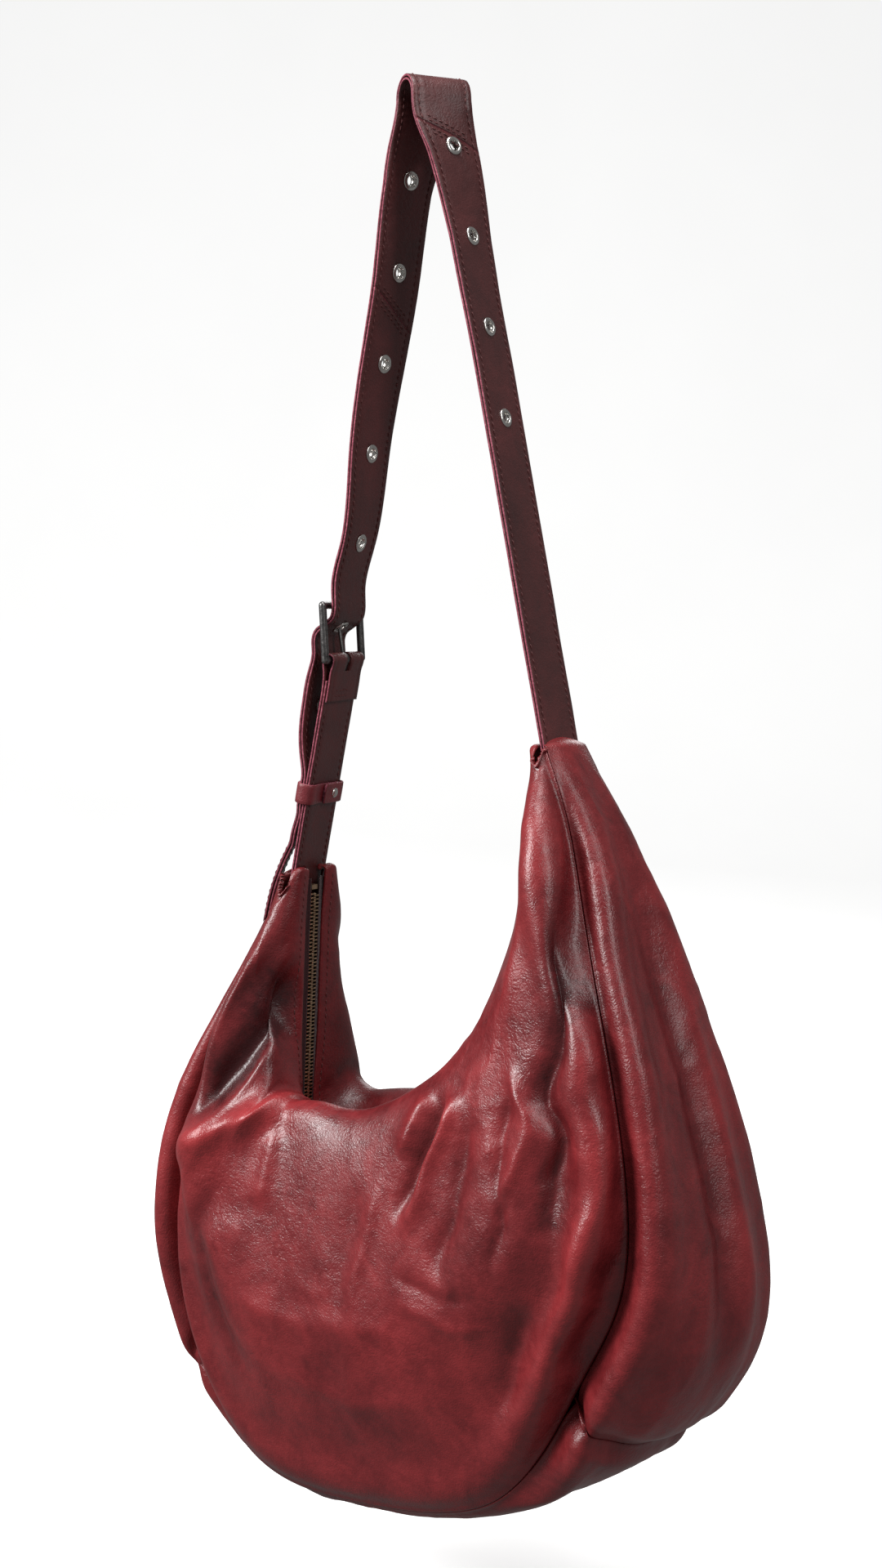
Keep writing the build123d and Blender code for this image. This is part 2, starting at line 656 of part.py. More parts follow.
def strap_nodes():
    """Both layers of the strap, each made of two spliced pieces, with the eyelet holes."""
    middle = STRAP_LAYER_GAP / 2
    thick = STRAP_LAYER
    hole = EYELET_HOLE_RADIUS + EYELET_WALL + EYELET_CLEARANCE
    buckle_from = left_share(in_buckle(*BUCKLE_LINE[0]))
    right_steps = beside_rail(RIGHT) + steps(13, 0.07, 1.0)
    left_steps = beside_rail(LEFT) + steps(10, 0.05, buckle_from)[:-1] + steps(48, buckle_from, 1.0)
    layers = {}
    for name, low, high in (("outer", middle, middle + thick), ("inner", -middle - thick, -middle)):
        right = RIGHT.layer(low, high, right_steps, -1.0)
        left = LEFT.layer(low, high, left_steps, 1.0)
        for leg, share, side in eyelet_places():
            drill = ring_at(leg, share, side, hole, 0.0, -4.0, 4.0)
            if leg is RIGHT:
                right = right - drill
            else:
                left = left - drill
        layers[name] = (right, wrap(WRAP_RADIUS + low, WRAP_RADIUS + high), left)
    nodes = {}
    right, over, left = layers["outer"]
    near, far = split_leg(right, RIGHT, OUTER_SPLICE, -1.0)
    nodes["strap_outer_right"] = far
    nodes["strap_outer_left"] = near + over + left
    right, over, left = layers["inner"]
    near, far = split_leg(left, LEFT, INNER_SPLICE, 1.0)
    nodes["strap_inner_right"] = right + over + near
    nodes["strap_inner_left"] = far
    return nodes


def eyelet_nodes():
    """Flanged eyelets from the outer face, and the washers that they are set over."""
    face = STRAP_THICKNESS / 2 + EYELET_CLEARANCE
    barrel = EYELET_HOLE_RADIUS + EYELET_WALL
    eyelets = []
    washers = []
    for leg, share, side in eyelet_places():
        flange = ring_at(leg, share, side, EYELET_FLANGE_RADIUS, EYELET_HOLE_RADIUS,
                         face, face + EYELET_FLANGE)
        tube = ring_at(leg, share, side, barrel, EYELET_HOLE_RADIUS,
                       -face - EYELET_FLANGE, face + EYELET_FLANGE / 2)
        eyelets.append(flange + tube)
        washers.append(ring_at(leg, share, side, EYELET_FLANGE_RADIUS, barrel + RUNNING,
                               -face - EYELET_FLANGE, -face))
    return {"eyelets": Compound(children=eyelets), "eyelet_washers": Compound(children=washers)}


# ------------------------------------------------------------------- buckle
def rod(plane, start, end, radius):
    """A round bar between two points of a local frame."""
    a = plane.from_local_coords(Vector(*start))
    b = plane.from_local_coords(Vector(*end))
    middle = Plane(origin=(a + b) * 0.5, z_dir=unit(b - a))
    return middle.location * Cylinder(radius, (b - a).length)


def ball(plane, centre, radius):
    return Location(plane.from_local_coords(Vector(*centre))) * Sphere(radius)


def buckle_frame():
    side = STRAP_WIDTH / 2 + BUCKLE_CLEARANCE + BAR_RADIUS
    frame = rod(BUCKLE, (-side, 0, 0), (side, 0, 0), BAR_RADIUS)
    frame += rod(BUCKLE, (-side, 0, BUCKLE_OPENING), (side, 0, BUCKLE_OPENING), BAR_RADIUS)
    for place in (-side, side):
        frame += rod(BUCKLE, (place, 0, 0), (place, 0, BUCKLE_OPENING), BAR_RADIUS)
        frame += ball(BUCKLE, (place, 0, 0), BAR_RADIUS)
        frame += ball(BUCKLE, (place, 0, BUCKLE_OPENING), BAR_RADIUS)
    return frame


def buckle_prong():
    """An eye round the heel bar, and a rod through the strap to the far bar's outer side."""
    eye = BAR_RADIUS + RUNNING
    ring = rod(BUCKLE, (-1.4, 0, 0), (1.4, 0, 0), eye + PRONG_EYE)
    rest = BAR_RADIUS + PRONG_RADIUS + 0.1
    slope = rest / BUCKLE_OPENING
    start = eye + PRONG_EYE / 2
    end = BUCKLE_OPENING + PRONG_OVERHANG
    body = ring + rod(BUCKLE, (0, start * slope, start), (0, end * slope, end), PRONG_RADIUS)
    body += ball(BUCKLE, (0, end * slope, end), PRONG_RADIUS)
    return body - rod(BUCKLE, (-9, 0, 0), (9, 0, 0), eye)


def slab(points):
    """A strap-wide piece from its outline in the tab's plane, as (out, up) points."""
    half = STRAP_WIDTH / 2
    outline = Wire.make_polygon([TAB.from_local_coords(Vector(-half, y, z)) for y, z in points])
    return extrude(Face(outline), amount=STRAP_WIDTH, dir=TAB.x_dir)


def buckle_tab():
    """The short strap: a doubled stem from the left peak, folded round the heel bar."""
    bore = BAR_RADIUS + SOFT_GAP
    outside = bore + TAB_PLY
    length = (Vector(*HEEL_BAR) - Vector(*LEFT_PEAK)).length + TAB_INSERT
    join = 14.0
    half = STRAP_WIDTH / 2
    loop = rod(TAB, (-half, 0, 0), (half, 0, 0), outside)
    loop -= rod(TAB, (-half - 1, 0, 0), (half + 1, 0, 0), bore)
    loop = loop & slab([(-outside, 0), (outside, 0), (outside, outside), (-outside, outside)])
    tab = loop + slab([(bore, 0), (outside, 0), (TAB_PLY, -join), (0, -join)])
    tab += slab([(-TAB_PLY, -join), (TAB_PLY, -join), (TAB_PLY, -length), (-TAB_PLY, -length)])
    fold = -TAB_PLY - 0.2
    tab += slab([(-bore, 0), (-outside, 0), (fold - TAB_PLY, -join), (fold, -join)])
    tab += slab([(fold, -join), (fold - TAB_PLY, -join), (fold - TAB_PLY, -TAB_FOLD_LENGTH),
                 (fold, -TAB_FOLD_LENGTH)])
    slot = Box(PRONG_SLOT, 4 * outside, 2 * outside + 4)
    return tab - TAB.location * Location((0, 0, 0.5)) * slot


def keeper_nodes():
    """The keeper round tab and tail, its lapped end, and the rivet through the lap."""
    half = STRAP_WIDTH / 2 + KEEPER_CLEARANCE
    low = -TAB_PLY - KEEPER_CLEARANCE
    high = TAIL_LINE[6][0] + STRAP_THICKNESS / 2 + KEEPER_CLEARANCE
    wall = KEEPER_LEATHER
    middle = (low + high) / 2
    place = TAB.location * Location((0, middle, -KEEPER_PLACE))
    loop = Box(2 * (half + wall), high - low + 2 * wall, KEEPER_WIDTH)
    loop -= Box(2 * half, high - low, KEEPER_WIDTH + 2)
    lap_low = low - 2 * wall - middle
    lap = Location(((half + wall) / 2 - 1.0, lap_low + wall / 2 + 0.05, 0))
    loop += lap * Box(half + wall - 1.0, wall + 0.1, KEEPER_WIDTH)
    axis = Location((RIVET_PLACE, lap_low, 0)) * Rotation(90, 0, 0)
    loop -= axis * Cylinder(RIVET_RADIUS + RUNNING, 6 * wall)
    head = Location((RIVET_PLACE, lap_low - RIVET_HEAD / 2, 0)) * Rotation(90, 0, 0)
    rivet = head * Cylinder(RIVET_HEAD_RADIUS, RIVET_HEAD)
    shank = Location((RIVET_PLACE, lap_low + wall - 0.1, 0)) * Rotation(90, 0, 0)
    rivet += shank * Cylinder(RIVET_RADIUS, 2 * wall)
    return {"keeper_loop": place * loop, "keeper_rivet": place * rivet}


def all_nodes():
    nodes = body_nodes()
    nodes["zip_tape_front"] = tape(-1.0)
    nodes["zip_tape_back"] = tape(1.0)
    nodes["zip_teeth_front"] = teeth(-1.0, FIRST_TOOTH)
    nodes["zip_teeth_back"] = teeth(1.0, FIRST_TOOTH + TOOTH_PITCH / 2)
    nodes["zip_top_stops"], nodes["zip_bottom_stop"] = zip_stops()
    nodes["zip_slider_upper"], nodes["zip_slider_lower"] = zip_slider()
    nodes["zip_pull"] = zip_pull()
    nodes.update(strap_nodes())
    nodes.update(eyelet_nodes())
    nodes["buckle_frame"] = buckle_frame()
    nodes["buckle_prong"] = buckle_prong()
    nodes["buckle_tab"] = buckle_tab()
    nodes.update(keeper_nodes())
    return nodes


def tell(name, vector):
    print(f"{name}: {vector.X:.4f} {vector.Y:.4f} {vector.Z:.4f}")


if __name__ == "__main__":
    os.makedirs("parts", exist_ok=True)
    for node, shape in all_nodes().items():
        export_step(shape, f"parts/{node}.step")
    tell("zip arc centre", Vector(ARC_CENTRE.X, 0, ARC_CENTRE.Y))
    tell("pull pin", lug_pin_plane().origin)
    tell("heel bar", Vector(*HEEL_BAR))
    tell("heel bar axis", TAB.x_dir)
    tell("frame up", BUCKLE.z_dir)
    tell("tab up", TAB.z_dir)
    tell("rail axis", RAIL_AXIS)
    print(f"zip length {ZIP_LENGTH:.1f}, arc radius {ARC_RADIUS:.1f}")
    print(f"strap legs {RIGHT.line.length:.1f} and {LEFT.line.length:.1f}")
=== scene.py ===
import math
import bpy
import bmesh
import numpy as np
from mathutils import Matrix, Vector


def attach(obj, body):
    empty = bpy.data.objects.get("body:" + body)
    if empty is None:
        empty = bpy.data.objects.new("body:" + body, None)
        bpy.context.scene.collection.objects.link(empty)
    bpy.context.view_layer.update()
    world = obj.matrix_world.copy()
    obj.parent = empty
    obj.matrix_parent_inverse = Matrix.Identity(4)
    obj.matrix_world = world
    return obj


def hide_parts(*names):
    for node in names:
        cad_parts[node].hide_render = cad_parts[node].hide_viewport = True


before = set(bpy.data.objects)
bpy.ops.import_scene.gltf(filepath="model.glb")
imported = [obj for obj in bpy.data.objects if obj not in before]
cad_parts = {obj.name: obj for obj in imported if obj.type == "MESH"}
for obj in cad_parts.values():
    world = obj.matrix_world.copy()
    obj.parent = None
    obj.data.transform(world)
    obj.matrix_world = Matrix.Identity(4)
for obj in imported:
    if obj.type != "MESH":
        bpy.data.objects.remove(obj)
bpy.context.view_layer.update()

# Lengths are in millimetres up to mesh_object(), which makes metres.
# X runs along the bag (right peak at +X), Y through it (front at -Y), Z up.

LEATHER = 1.6
PEAK_HALF = 21.5
BODY_HALF = 78.0
GUSSET_HALF = 64.0
METRES = 0.001          # millimetres to metres
CLOTH = 0.6             # thickness of tape and lining
STITCH_RADIUS = 0.42
ZIP_START = np.array([84.0, -392.0])
ZIP_ARC_END = np.array([-52.0, -645.0])
ZIP_ARC_RISE = 60.0
ZIP_CORNER = 32.0
ZIP_FINISH = np.array([-91.5, -473.0])
ZIP_LEAN = math.radians(2.8)
ZIP_GAP = 6.5
FORWARD = np.array([0.0, 1.0, 0.0])
UP = np.array([0.0, 0.0, 1.0])


# ---------------------------------------------------------------- small maths
def unit(v):
    v = np.asarray(v, float)
    return v / np.maximum(np.linalg.norm(v, axis=-1, keepdims=True), 1e-12)


class Spline:
    """Cubic spline through values at keys, natural or with given end slopes."""

    def __init__(self, keys, values, start=None, end=None):
        k = np.asarray(keys, float)
        v = np.asarray(values, float)
        if v.ndim == 1:
            v = v[:, None]
        n = len(k)
        h = np.diff(k)
        a = np.zeros((n, n))
        b = np.zeros_like(v)
        a[0, 0] = a[-1, -1] = 1.0
        for i in range(1, n - 1):
            a[i, i - 1:i + 2] = h[i - 1], 2 * (h[i - 1] + h[i]), h[i]
            b[i] = 6 * ((v[i + 1] - v[i]) / h[i] - (v[i] - v[i - 1]) / h[i - 1])
        if start is not None:
            a[0, :2] = 2 * h[0], h[0]
            b[0] = 6 * ((v[1] - v[0]) / h[0] - start)
        if end is not None:
            a[-1, -2:] = h[-1], 2 * h[-1]
            b[-1] = 6 * (end - (v[-1] - v[-2]) / h[-1])
        self.k, self.v, self.m = k, v, np.linalg.solve(a, b)

    def __call__(self, x):
        x = np.atleast_1d(np.asarray(x, float))
        i = np.clip(np.searchsorted(self.k, x) - 1, 0, len(self.k) - 2)
        h = self.k[i + 1] - self.k[i]
        p = ((self.k[i + 1] - x) / h)[:, None]
        q = ((x - self.k[i]) / h)[:, None]
        bend = ((p ** 3 - p) * self.m[i] + (q ** 3 - q) * self.m[i + 1]) * (h[:, None] ** 2) / 6
        return p * self.v[i] + q * self.v[i + 1] + bend


def chord_keys(points):
    points = np.asarray(points, float)
    return np.concatenate([[0.0], np.cumsum(np.linalg.norm(np.diff(points, axis=0), axis=1))])


def even_curve(points, count):
    """count + 1 points evenly spaced on the smooth curve through points, and directions."""
    keys = chord_keys(points)
    curve = Spline(keys, points)
    fine = curve(np.linspace(0, keys[-1], 240))
    run = chord_keys(fine)
    wanted = np.linspace(0, run[-1], count + 1)
    at = np.interp(wanted, run, np.linspace(0, keys[-1], 240))
    eps = keys[-1] * 1e-4
    way = unit(curve(np.clip(at + eps, 0, keys[-1])) - curve(np.clip(at - eps, 0, keys[-1])))
    return curve(at), way, run[-1]


def smooth(x):
    x = np.clip(x, 0.0, 1.0)
    return x * x * (3 - 2 * x)


def hump(x, width):
    return np.exp(-(x / width) ** 2)


_lattice = np.random.RandomState(11).rand(32, 32, 32)


def noise(p, scale):
    """Smooth noise from 0 to 1 at points p; scale is the size of a cell along each axis."""
    q = p / np.asarray(scale, float)
    i = np.floor(q).astype(int)
    f = q - i
    f = f * f * (3 - 2 * f)
    total = 0.0
    for dx in (0, 1):
        for dy in (0, 1):
            for dz in (0, 1):
                weight = (np.where(dx, f[..., 0], 1 - f[..., 0]) * np.where(dy, f[..., 1], 1 - f[..., 1])
                          * np.where(dz, f[..., 2], 1 - f[..., 2]))
                total = total + weight * _lattice[(i[..., 0] + dx) % 32, (i[..., 1] + dy) % 32,
                                                  (i[..., 2] + dz) % 32]
    return total


def ridged(p, scale, sharp=2.0):
    """Thin branching ridges, 0 to 1."""
    return (1 - np.abs(2 * noise(p, scale) - 1)) ** sharp


def to_line(x, z, line):
    """Distance from points (x, z) to a polyline, and the share of its length where it is nearest."""
    best = np.full(np.shape(x), 1e9)
    share = np.zeros(np.shape(x))
    pts = np.asarray(line, float)
    runs = chord_keys(pts)
    for a, b, ra, rb in zip(pts[:-1], pts[1:], runs[:-1], runs[1:]):
        d = b - a
        k = np.clip(((x - a[0]) * d[0] + (z - a[1]) * d[1]) / (d @ d), 0, 1)
        gap = np.hypot(x - a[0] - k * d[0], z - a[1] - k * d[1])
        nearer = gap < best
        best = np.where(nearer, gap, best)
        share = np.where(nearer, (ra + k * (rb - ra)) / runs[-1], share)
    return best, share


# ------------------------------------------------------------------- zip line
def zip_parts():
    chord = ZIP_ARC_END - ZIP_START
    length = np.linalg.norm(chord)
    radius = ((length / 2) ** 2 + ZIP_ARC_RISE ** 2) / (2 * ZIP_ARC_RISE)
    centre = (ZIP_START + ZIP_ARC_END) / 2 + unit([chord[1], -chord[0]]) * (radius - ZIP_ARC_RISE)
    down = np.array([-math.sin(ZIP_LEAN), -math.cos(ZIP_LEAN)])
    across = np.array([math.cos(ZIP_LEAN), -math.sin(ZIP_LEAN)])
    base = ZIP_FINISH + across * ZIP_CORNER - centre
    along = base @ down
    drop = -along + math.sqrt(along ** 2 - base @ base + (radius - ZIP_CORNER) ** 2)
    leg_end = ZIP_FINISH + down * drop
    corner = leg_end + across * ZIP_CORNER
    arc_end = centre + unit(corner - centre) * radius
    return centre, radius, arc_end, corner, leg_end, drop


ZC, ZR, ARC_END, CORNER, LEG_END, LEG = zip_parts()


def zip_table():
    def angle(p, c):
        return math.atan2(p[1] - c[1], p[0] - c[0])
    a0, a1 = angle(ZIP_START, ZC), angle(ARC_END, ZC)
    arc = np.linspace(a0, a1 if a1 < a0 else a1 - 2 * math.pi, 400)
    b0, b1 = angle(ARC_END, CORNER), angle(LEG_END, CORNER)
    turn = np.linspace(b0, b1 if b1 < b0 else b1 - 2 * math.pi, 120)
    pts = [ZC + ZR * np.stack([np.cos(arc), np.sin(arc)], 1),
           (CORNER + ZIP_CORNER * np.stack([np.cos(turn), np.sin(turn)], 1))[1:],
           (LEG_END + np.linspace(0, 1, 60)[1:, None] * (ZIP_FINISH - LEG_END))]
    return np.concatenate(pts)


ZIP_POINTS = zip_table()
ZIP_RUN = chord_keys(ZIP_POINTS)
ZIP_LENGTH = ZIP_RUN[-1]


def zip_place(distance):
    """Points on the zip, its direction, and the direction out of the bag. Runs on straight past its ends."""
    d = np.atleast_1d(np.asarray(distance, float))

    def at(s):
        c = np.clip(s, 0, ZIP_LENGTH)
        p = np.stack([np.interp(c, ZIP_RUN, ZIP_POINTS[:, 0]), np.interp(c, ZIP_RUN, ZIP_POINTS[:, 1])], 1)
        first = unit(ZIP_POINTS[1] - ZIP_POINTS[0])
        last = unit(ZIP_POINTS[-1] - ZIP_POINTS[-2])
        return p + np.minimum(s, 0)[:, None] * first + np.maximum(s - ZIP_LENGTH, 0)[:, None] * last
    p = at(d)
    way = unit(at(d + 1.5) - at(d - 1.5))
    point = np.stack([p[:, 0], np.zeros(len(d)), p[:, 1]], 1)
    along = np.stack([way[:, 0], np.zeros(len(d)), way[:, 1]], 1)
    return point, along, -np.cross(along, FORWARD)


# ------------------------------------------------------------------- bag body
# share of the zip, outer (x, z), half thickness, half gusset, lip height,
# how far the gusset stands out past its front seam, and past its back seam
STATIONS = np.array([
    (-0.0154, 98.0, -383.0, 0.31, 0.34, 0.0, 3.0, 1.0),
    (0.04, 119.0, -420.0, 0.42, 0.46, 2.0, 8.0, 5.0),
    (0.11, 137.0, -462.0, 0.57, 0.60, 5.0, 12.0, 8.0),
    (0.20, 158.0, -520.0, 0.74, 0.80, 8.0, 13.0, 9.0),
    (0.29, 181.0, -585.0, 0.87, 0.94, 10.0, 19.0, 10.0),
    (0.37, 202.0, -660.0, 0.96, 1.00, 12.0, 34.0, 13.0),
    (0.44, 203.0, -728.0, 1.00, 0.98, 18.0, 50.0, 14.0),
    (0.51, 162.0, -788.0, 1.00, 0.90, 26.0, 44.0, 12.0),
    (0.58, 82.0, -834.0, 1.00, 0.80, 34.0, 7.0, 12.0),
    (0.645, -20.0, -853.0, 0.98, 0.76, 34.0, 0.0, 12.0),
    (0.695, -105.0, -846.0, 0.96, 0.76, 26.0, 3.0, 14.0),
    (0.735, -165.0, -802.0, 0.92, 0.76, 16.0, 28.0, 20.0),
    (0.775, -197.0, -735.0, 0.85, 0.74, 9.0, 46.0, 24.0),
    (0.83, -195.0, -660.0, 0.72, 0.66, 3.0, 42.0, 22.0),
    (0.885, -168.0, -588.0, 0.57, 0.52, 0.0, 26.0, 16.0),
    (0.94, -134.0, -522.0, 0.42, 0.40, 0.0, 11.0, 8.0),
    (1.0076, -107.0, -470.0, 0.31, 0.34, 0.0, 2.0, 2.0),
])
LAST = len(STATIONS) - 1
BASE_FROM, BASE_TO = 7.0, 11.0
BODY_SPLINE = Spline(np.arange(len(STATIONS)), STATIONS)


class Sections:
    """Cross-sections at station numbers t: where they lie, and their outlines."""

    def __init__(self, t):
        self.t = np.asarray(t, float)
        row = BODY_SPLINE(self.t)
        self.inner = zip_place(row[:, 0] * ZIP_LENGTH)[0]
        self.outer = np.stack([row[:, 1], np.zeros(len(row)), row[:, 2]], 1)
        self.depth = np.linalg.norm(self.outer - self.inner, axis=1)
        self.out = unit(self.outer - self.inner)
        self.half = np.maximum(row[:, 3] * BODY_HALF, PEAK_HALF)
        self.seam = np.maximum(row[:, 4] * GUSSET_HALF, PEAK_HALF - 1.5)
        self.lip = row[:, 5]
        self.stand = {-1: row[:, 6], 1: row[:, 7]}
        self.gap = ZIP_GAP + 3.0 * smooth((self.t - 11.0) / 2.0)

    def side(self, i, sign):
        d, h, s, e = self.depth[i], self.half[i], self.seam[i], self.stand[int(sign)][i]
        gap = self.gap[i]
        return [(gap, 0.0), (gap + (h - gap) * 0.5, -self.lip[i]), (h * 0.93, d * 0.2),
                (h, d * 0.5), (h * 0.3 + s * 0.7, d - e - d * 0.16), (s, d - e)]

    def strip(self, i):
        d, s, e, f = self.depth[i], self.seam[i], self.stand[-1][i], self.stand[1][i]
        return [(-s, d - e), (-s * 0.66, d - e * 0.27), (0.0, d), (s * 0.62, d - f * 0.22), (s, d - f)]


def valley(t):
    """How deep the seams are pulled in, along the bag: less under the base."""
    base = smooth((t - 7.2) / 0.9) * smooth((11.2 - t) / 0.9)
    return 2.0 + 9.5 * smooth(t / 2.2) * smooth((LAST - t) / 2.2) * (1 - 0.75 * base)


def lift(sections, v, w):
    return (sections.inner[:, None, :] + FORWARD * v[..., None] + sections.out[:, None, :] * w[..., None])


def grid_normals(p, flip):
    du = np.gradient(p, axis=0)
    dv = np.gradient(p, axis=1)
    return unit(np.cross(du, dv)) * flip


def corner(sec, i, sign):
    """The way into the bag at a seam, halfway between the two leathers, as (v, w) for positive v."""
    _, side, _ = even_curve(sec.side(i, sign), 20)
    _, strip, _ = even_curve(sec.strip(i), 20)
    way = strip[-1] if sign > 0 else np.array([1, -1]) * strip[0]
    return -unit(np.array([side[-1][1], -side[-1][0]]) + np.array([-way[1], way[0]]))


def side_grid(t, columns, sign):
    """Panel from the zip edge to the seam: points, normals, distance to the seam and to the zip edge."""
    sec = Sections(t)
    v = np.zeros((len(t), columns + 1))
    w = np.zeros_like(v)
    to_seam = np.zeros_like(v)
    for i in range(len(t)):
        place, way, length = even_curve(sec.side(i, sign), columns)
        inward = corner(sec, i, sign)
        ds = (1 - np.linspace(0, 1, columns + 1)) * length
        deep = valley(t[i])
        pulled = hump(ds, 10.0) * deep
        normal = np.stack([way[:, 1], -way[:, 0]], 1)
        puff = hump(ds - 22, 14.0) * deep * (0.6 if sign < 0 else 0.95)
        place = place + pulled[:, None] * inward + normal * puff[:, None]
        v[i], w[i], to_seam[i] = place[:, 0], place[:, 1], ds
    p = lift(sec, v * sign, w)
    n = grid_normals(p, 1.0)
    mid = n[len(t) // 2, columns // 2]
    if mid[1] * sign < 0:
        n = -n
    total = to_seam[:, :1]
    return p, n, to_seam, total - to_seam


def strip_grid(t, columns):
    sec = Sections(t)
    v = np.zeros((len(t), columns + 1))
    w = np.zeros_like(v)
    front = np.zeros_like(v)
    for i in range(len(t)):
        place, way, length = even_curve(sec.strip(i), columns)
        d = np.linspace(0, 1, columns + 1) * length
        deep = valley(t[i])
        inward = corner(sec, i, -1)
        pulled = hump(d, 8.0)[:, None] * deep * np.array([-inward[0], inward[1]])
        pulled = pulled + hump(length - d, 8.0)[:, None] * deep * corner(sec, i, 1)
        normal = np.stack([-way[:, 1], way[:, 0]], 1)
        puff = (hump(d - 19, 11.0) + hump(length - d - 19, 11.0) * 0.8) * deep * 0.6
        place = place + pulled + normal * puff[:, None]
        v[i], w[i], front[i] = place[:, 0], place[:, 1], d
    p = lift(sec, v, w)
    n = grid_normals(p, 1.0)
    mid = n[len(t) // 2, columns // 2]
    if mid @ sec.out[len(t) // 2] < 0:
        n = -n
    return p, n, front, front[:, -1:] - front


# Folds: line as (x, z), height (ridges positive), width, all in millimetres.
FRONT_FOLDS = [
    # right arm: soft ridges that run down from the peak, and the valley between them
    ([(90, -391), (99, -423), (100, -459), (98, -491), (93, -523), (86, -561)], 6.0, 13.0),
    ([(137, -501), (145, -532), (155, -566), (160, -597), (156, -634), (148, -672), (135, -712)], 8.0, 9.0),
    ([(116, -449), (128, -489), (131, -533), (127, -579), (137, -623), (132, -674)], -9.0, 8.0),
    ([(97, -555), (116, -584), (112, -617), (92, -652)], 4.0, 6.0),
    ([(108, -560), (99, -600), (104, -650), (96, -690)], -4.0, 6.0),
    # folds that fan down from the lowest part of the zip
    ([(64, -577), (53, -607), (39, -645), (30, -668)], 8.0, 7.0),
    ([(52, -580), (43, -613), (33, -640), (22, -664)], -9.0, 7.0),
    ([(40, -584), (31, -605), (24, -625)], 5.0, 6.0),
    ([(76, -586), (72, -620), (62, -660), (60, -700)], -4.5, 8.0),
    ([(9, -635), (3, -666), (-3, -696), (-6, -740)], 2.2, 6.0),
    ([(-8, -640), (-14, -690), (-18, -730)], -2.0, 8.0),
    # left arm: a slanting ridge that carries the lip on to the seam, a hollow above it
    ([(-20, -594), (-59, -607), (-113, -623), (-165, -658)], 9.0, 11.0),
    ([(-70, -578), (-93, -610), (-110, -637)], 4.0, 7.0),
    ([(-88, -520), (-99, -566), (-123, -600), (-150, -632)], -15.0, 15.0),
    ([(-83, -560), (-112, -606), (-150, -645)], 5.0, 6.0),
    ([(-105, -646), (-134, -693), (-116, -752), (-89, -788)], -5.0, 11.0),
    ([(-84, -623), (-80, -640), (-84, -672)], 3.0, 8.0),
    # the panel's low right side, along the seam
    ([(173, -642), (159, -690), (132, -743)], -6.0, 8.0),
    ([(160, -634), (142, -692), (119, -744), (104, -777)], 5.0, 9.0),
    ([(120, -690), (100, -740), (84, -775)], -4.0, 8.0),
    # soft level wrinkles
    ([(-110, -720), (-40, -735), (40, -722)], 1.6, 9.0),
    ([(-90, -765), (-10, -778), (70, -760)], 1.4, 9.0),
    ([(20, -690), (60, -700), (96, -692)], -1.8, 5.0),
    ([(24, -706), (66, -716), (100, -708)], 1.6, 5.0),
]
BACK_FOLDS = [
    ([(96, -430), (104, -500), (110, -580), (104, -650)], 4.0, 9.0),
    ([(60, -600), (50, -660), (20, -720)], 4.0, 9.0),
    ([(74, -610), (66, -670), (40, -730)], -4.0, 8.0),
    ([(-20, -640), (-30, -700)], -3.0, 9.0),
    ([(-104, -520), (-124, -580), (-150, -640)], -5.0, 14.0),
    ([(-110, -600), (-140, -650), (-160, -700)], 4.0, 10.0),
    ([(-90, -740), (-10, -755), (80, -735)], 1.8, 10.0),
]


def fold_height(p, folds):
    x, z = p[..., 0], p[..., 2]
    wob = (noise(p, 26.0) - 0.5) * 10
    total = np.zeros_like(x)
    for line, height, width in folds:
        d, share = to_line(x + wob, z + wob * 0.6, line)
        ends = smooth(share / 0.25) * smooth((1 - share) / 0.3)
        total += height * ends / (1 + (d / width) ** 2) ** 1.5
    return total


def crumple(p):
    """Creases of every size, stretched along the drop of the leather."""
    q = p.copy()
    q[..., 0] += (noise(p, 45.0) - 0.5) * 30
    q[..., 2] += (noise(p + 90, 45.0) - 0.5) * 30
    big = ridged(q + 31, (42, 42, 105), 1.6) - 0.45
    mid = ridged(q + 77, (22, 22, 46), 2.2) - 0.35
    small = ridged(q + 140, (10, 10, 15), 2.5) - 0.3
    patch = smooth(noise(p + 210, 60.0) * 2 - 0.5)
    return (1.3 * big + (0.2 + 1.2 * patch) * 0.62 * mid + (0.1 + 1.0 * patch) * 0.34 * small)


# -------------------------------------------------------------------- meshes
def mesh_object(name, verts, faces, marks=None, smooth_shading=True):
    """A mesh from points in millimetres; marks are numbers kept at each point for the materials."""
    mesh = bpy.data.meshes.new(name)
    verts = np.asarray(verts, float) * METRES
    mesh.from_pydata(verts.tolist(), [], [tuple(int(i) for i in f) for f in faces])
    if marks is not None:
        for key, values in marks.items():
            layer = mesh.attributes.new(key, "FLOAT", "POINT")
            layer.data.foreach_set("value", np.asarray(values, float).ravel())
    if smooth_shading:
        mesh.polygons.foreach_set("use_smooth", [True] * len(mesh.polygons))
    mesh.update()
    obj = bpy.data.objects.new(name, mesh)
    bpy.context.collection.objects.link(obj)
    return obj


def grid_faces(rows, cols, close=False):
    """Faces of a grid of points; close joins its last column to its first."""
    i = np.arange(rows - 1)[:, None] * cols
    width = cols if close else cols - 1
    j = np.arange(width)[None, :]
    k = (j + 1) % cols
    return np.stack([i + j, i + k, i + cols + k, i + cols + j], -1).reshape(-1, 4)


def outward_flip(obj, toward):
    """Turns the faces so that the normal of the middle face looks along toward."""
    polys = obj.data.polygons
    total = 0.0
    for k in range(0, len(polys), max(1, len(polys) // 60)):
        total += float(np.dot(polys[k].normal, toward(np.array(polys[k].center) * 1000)))
    if total < 0:
        obj.data.flip_normals()


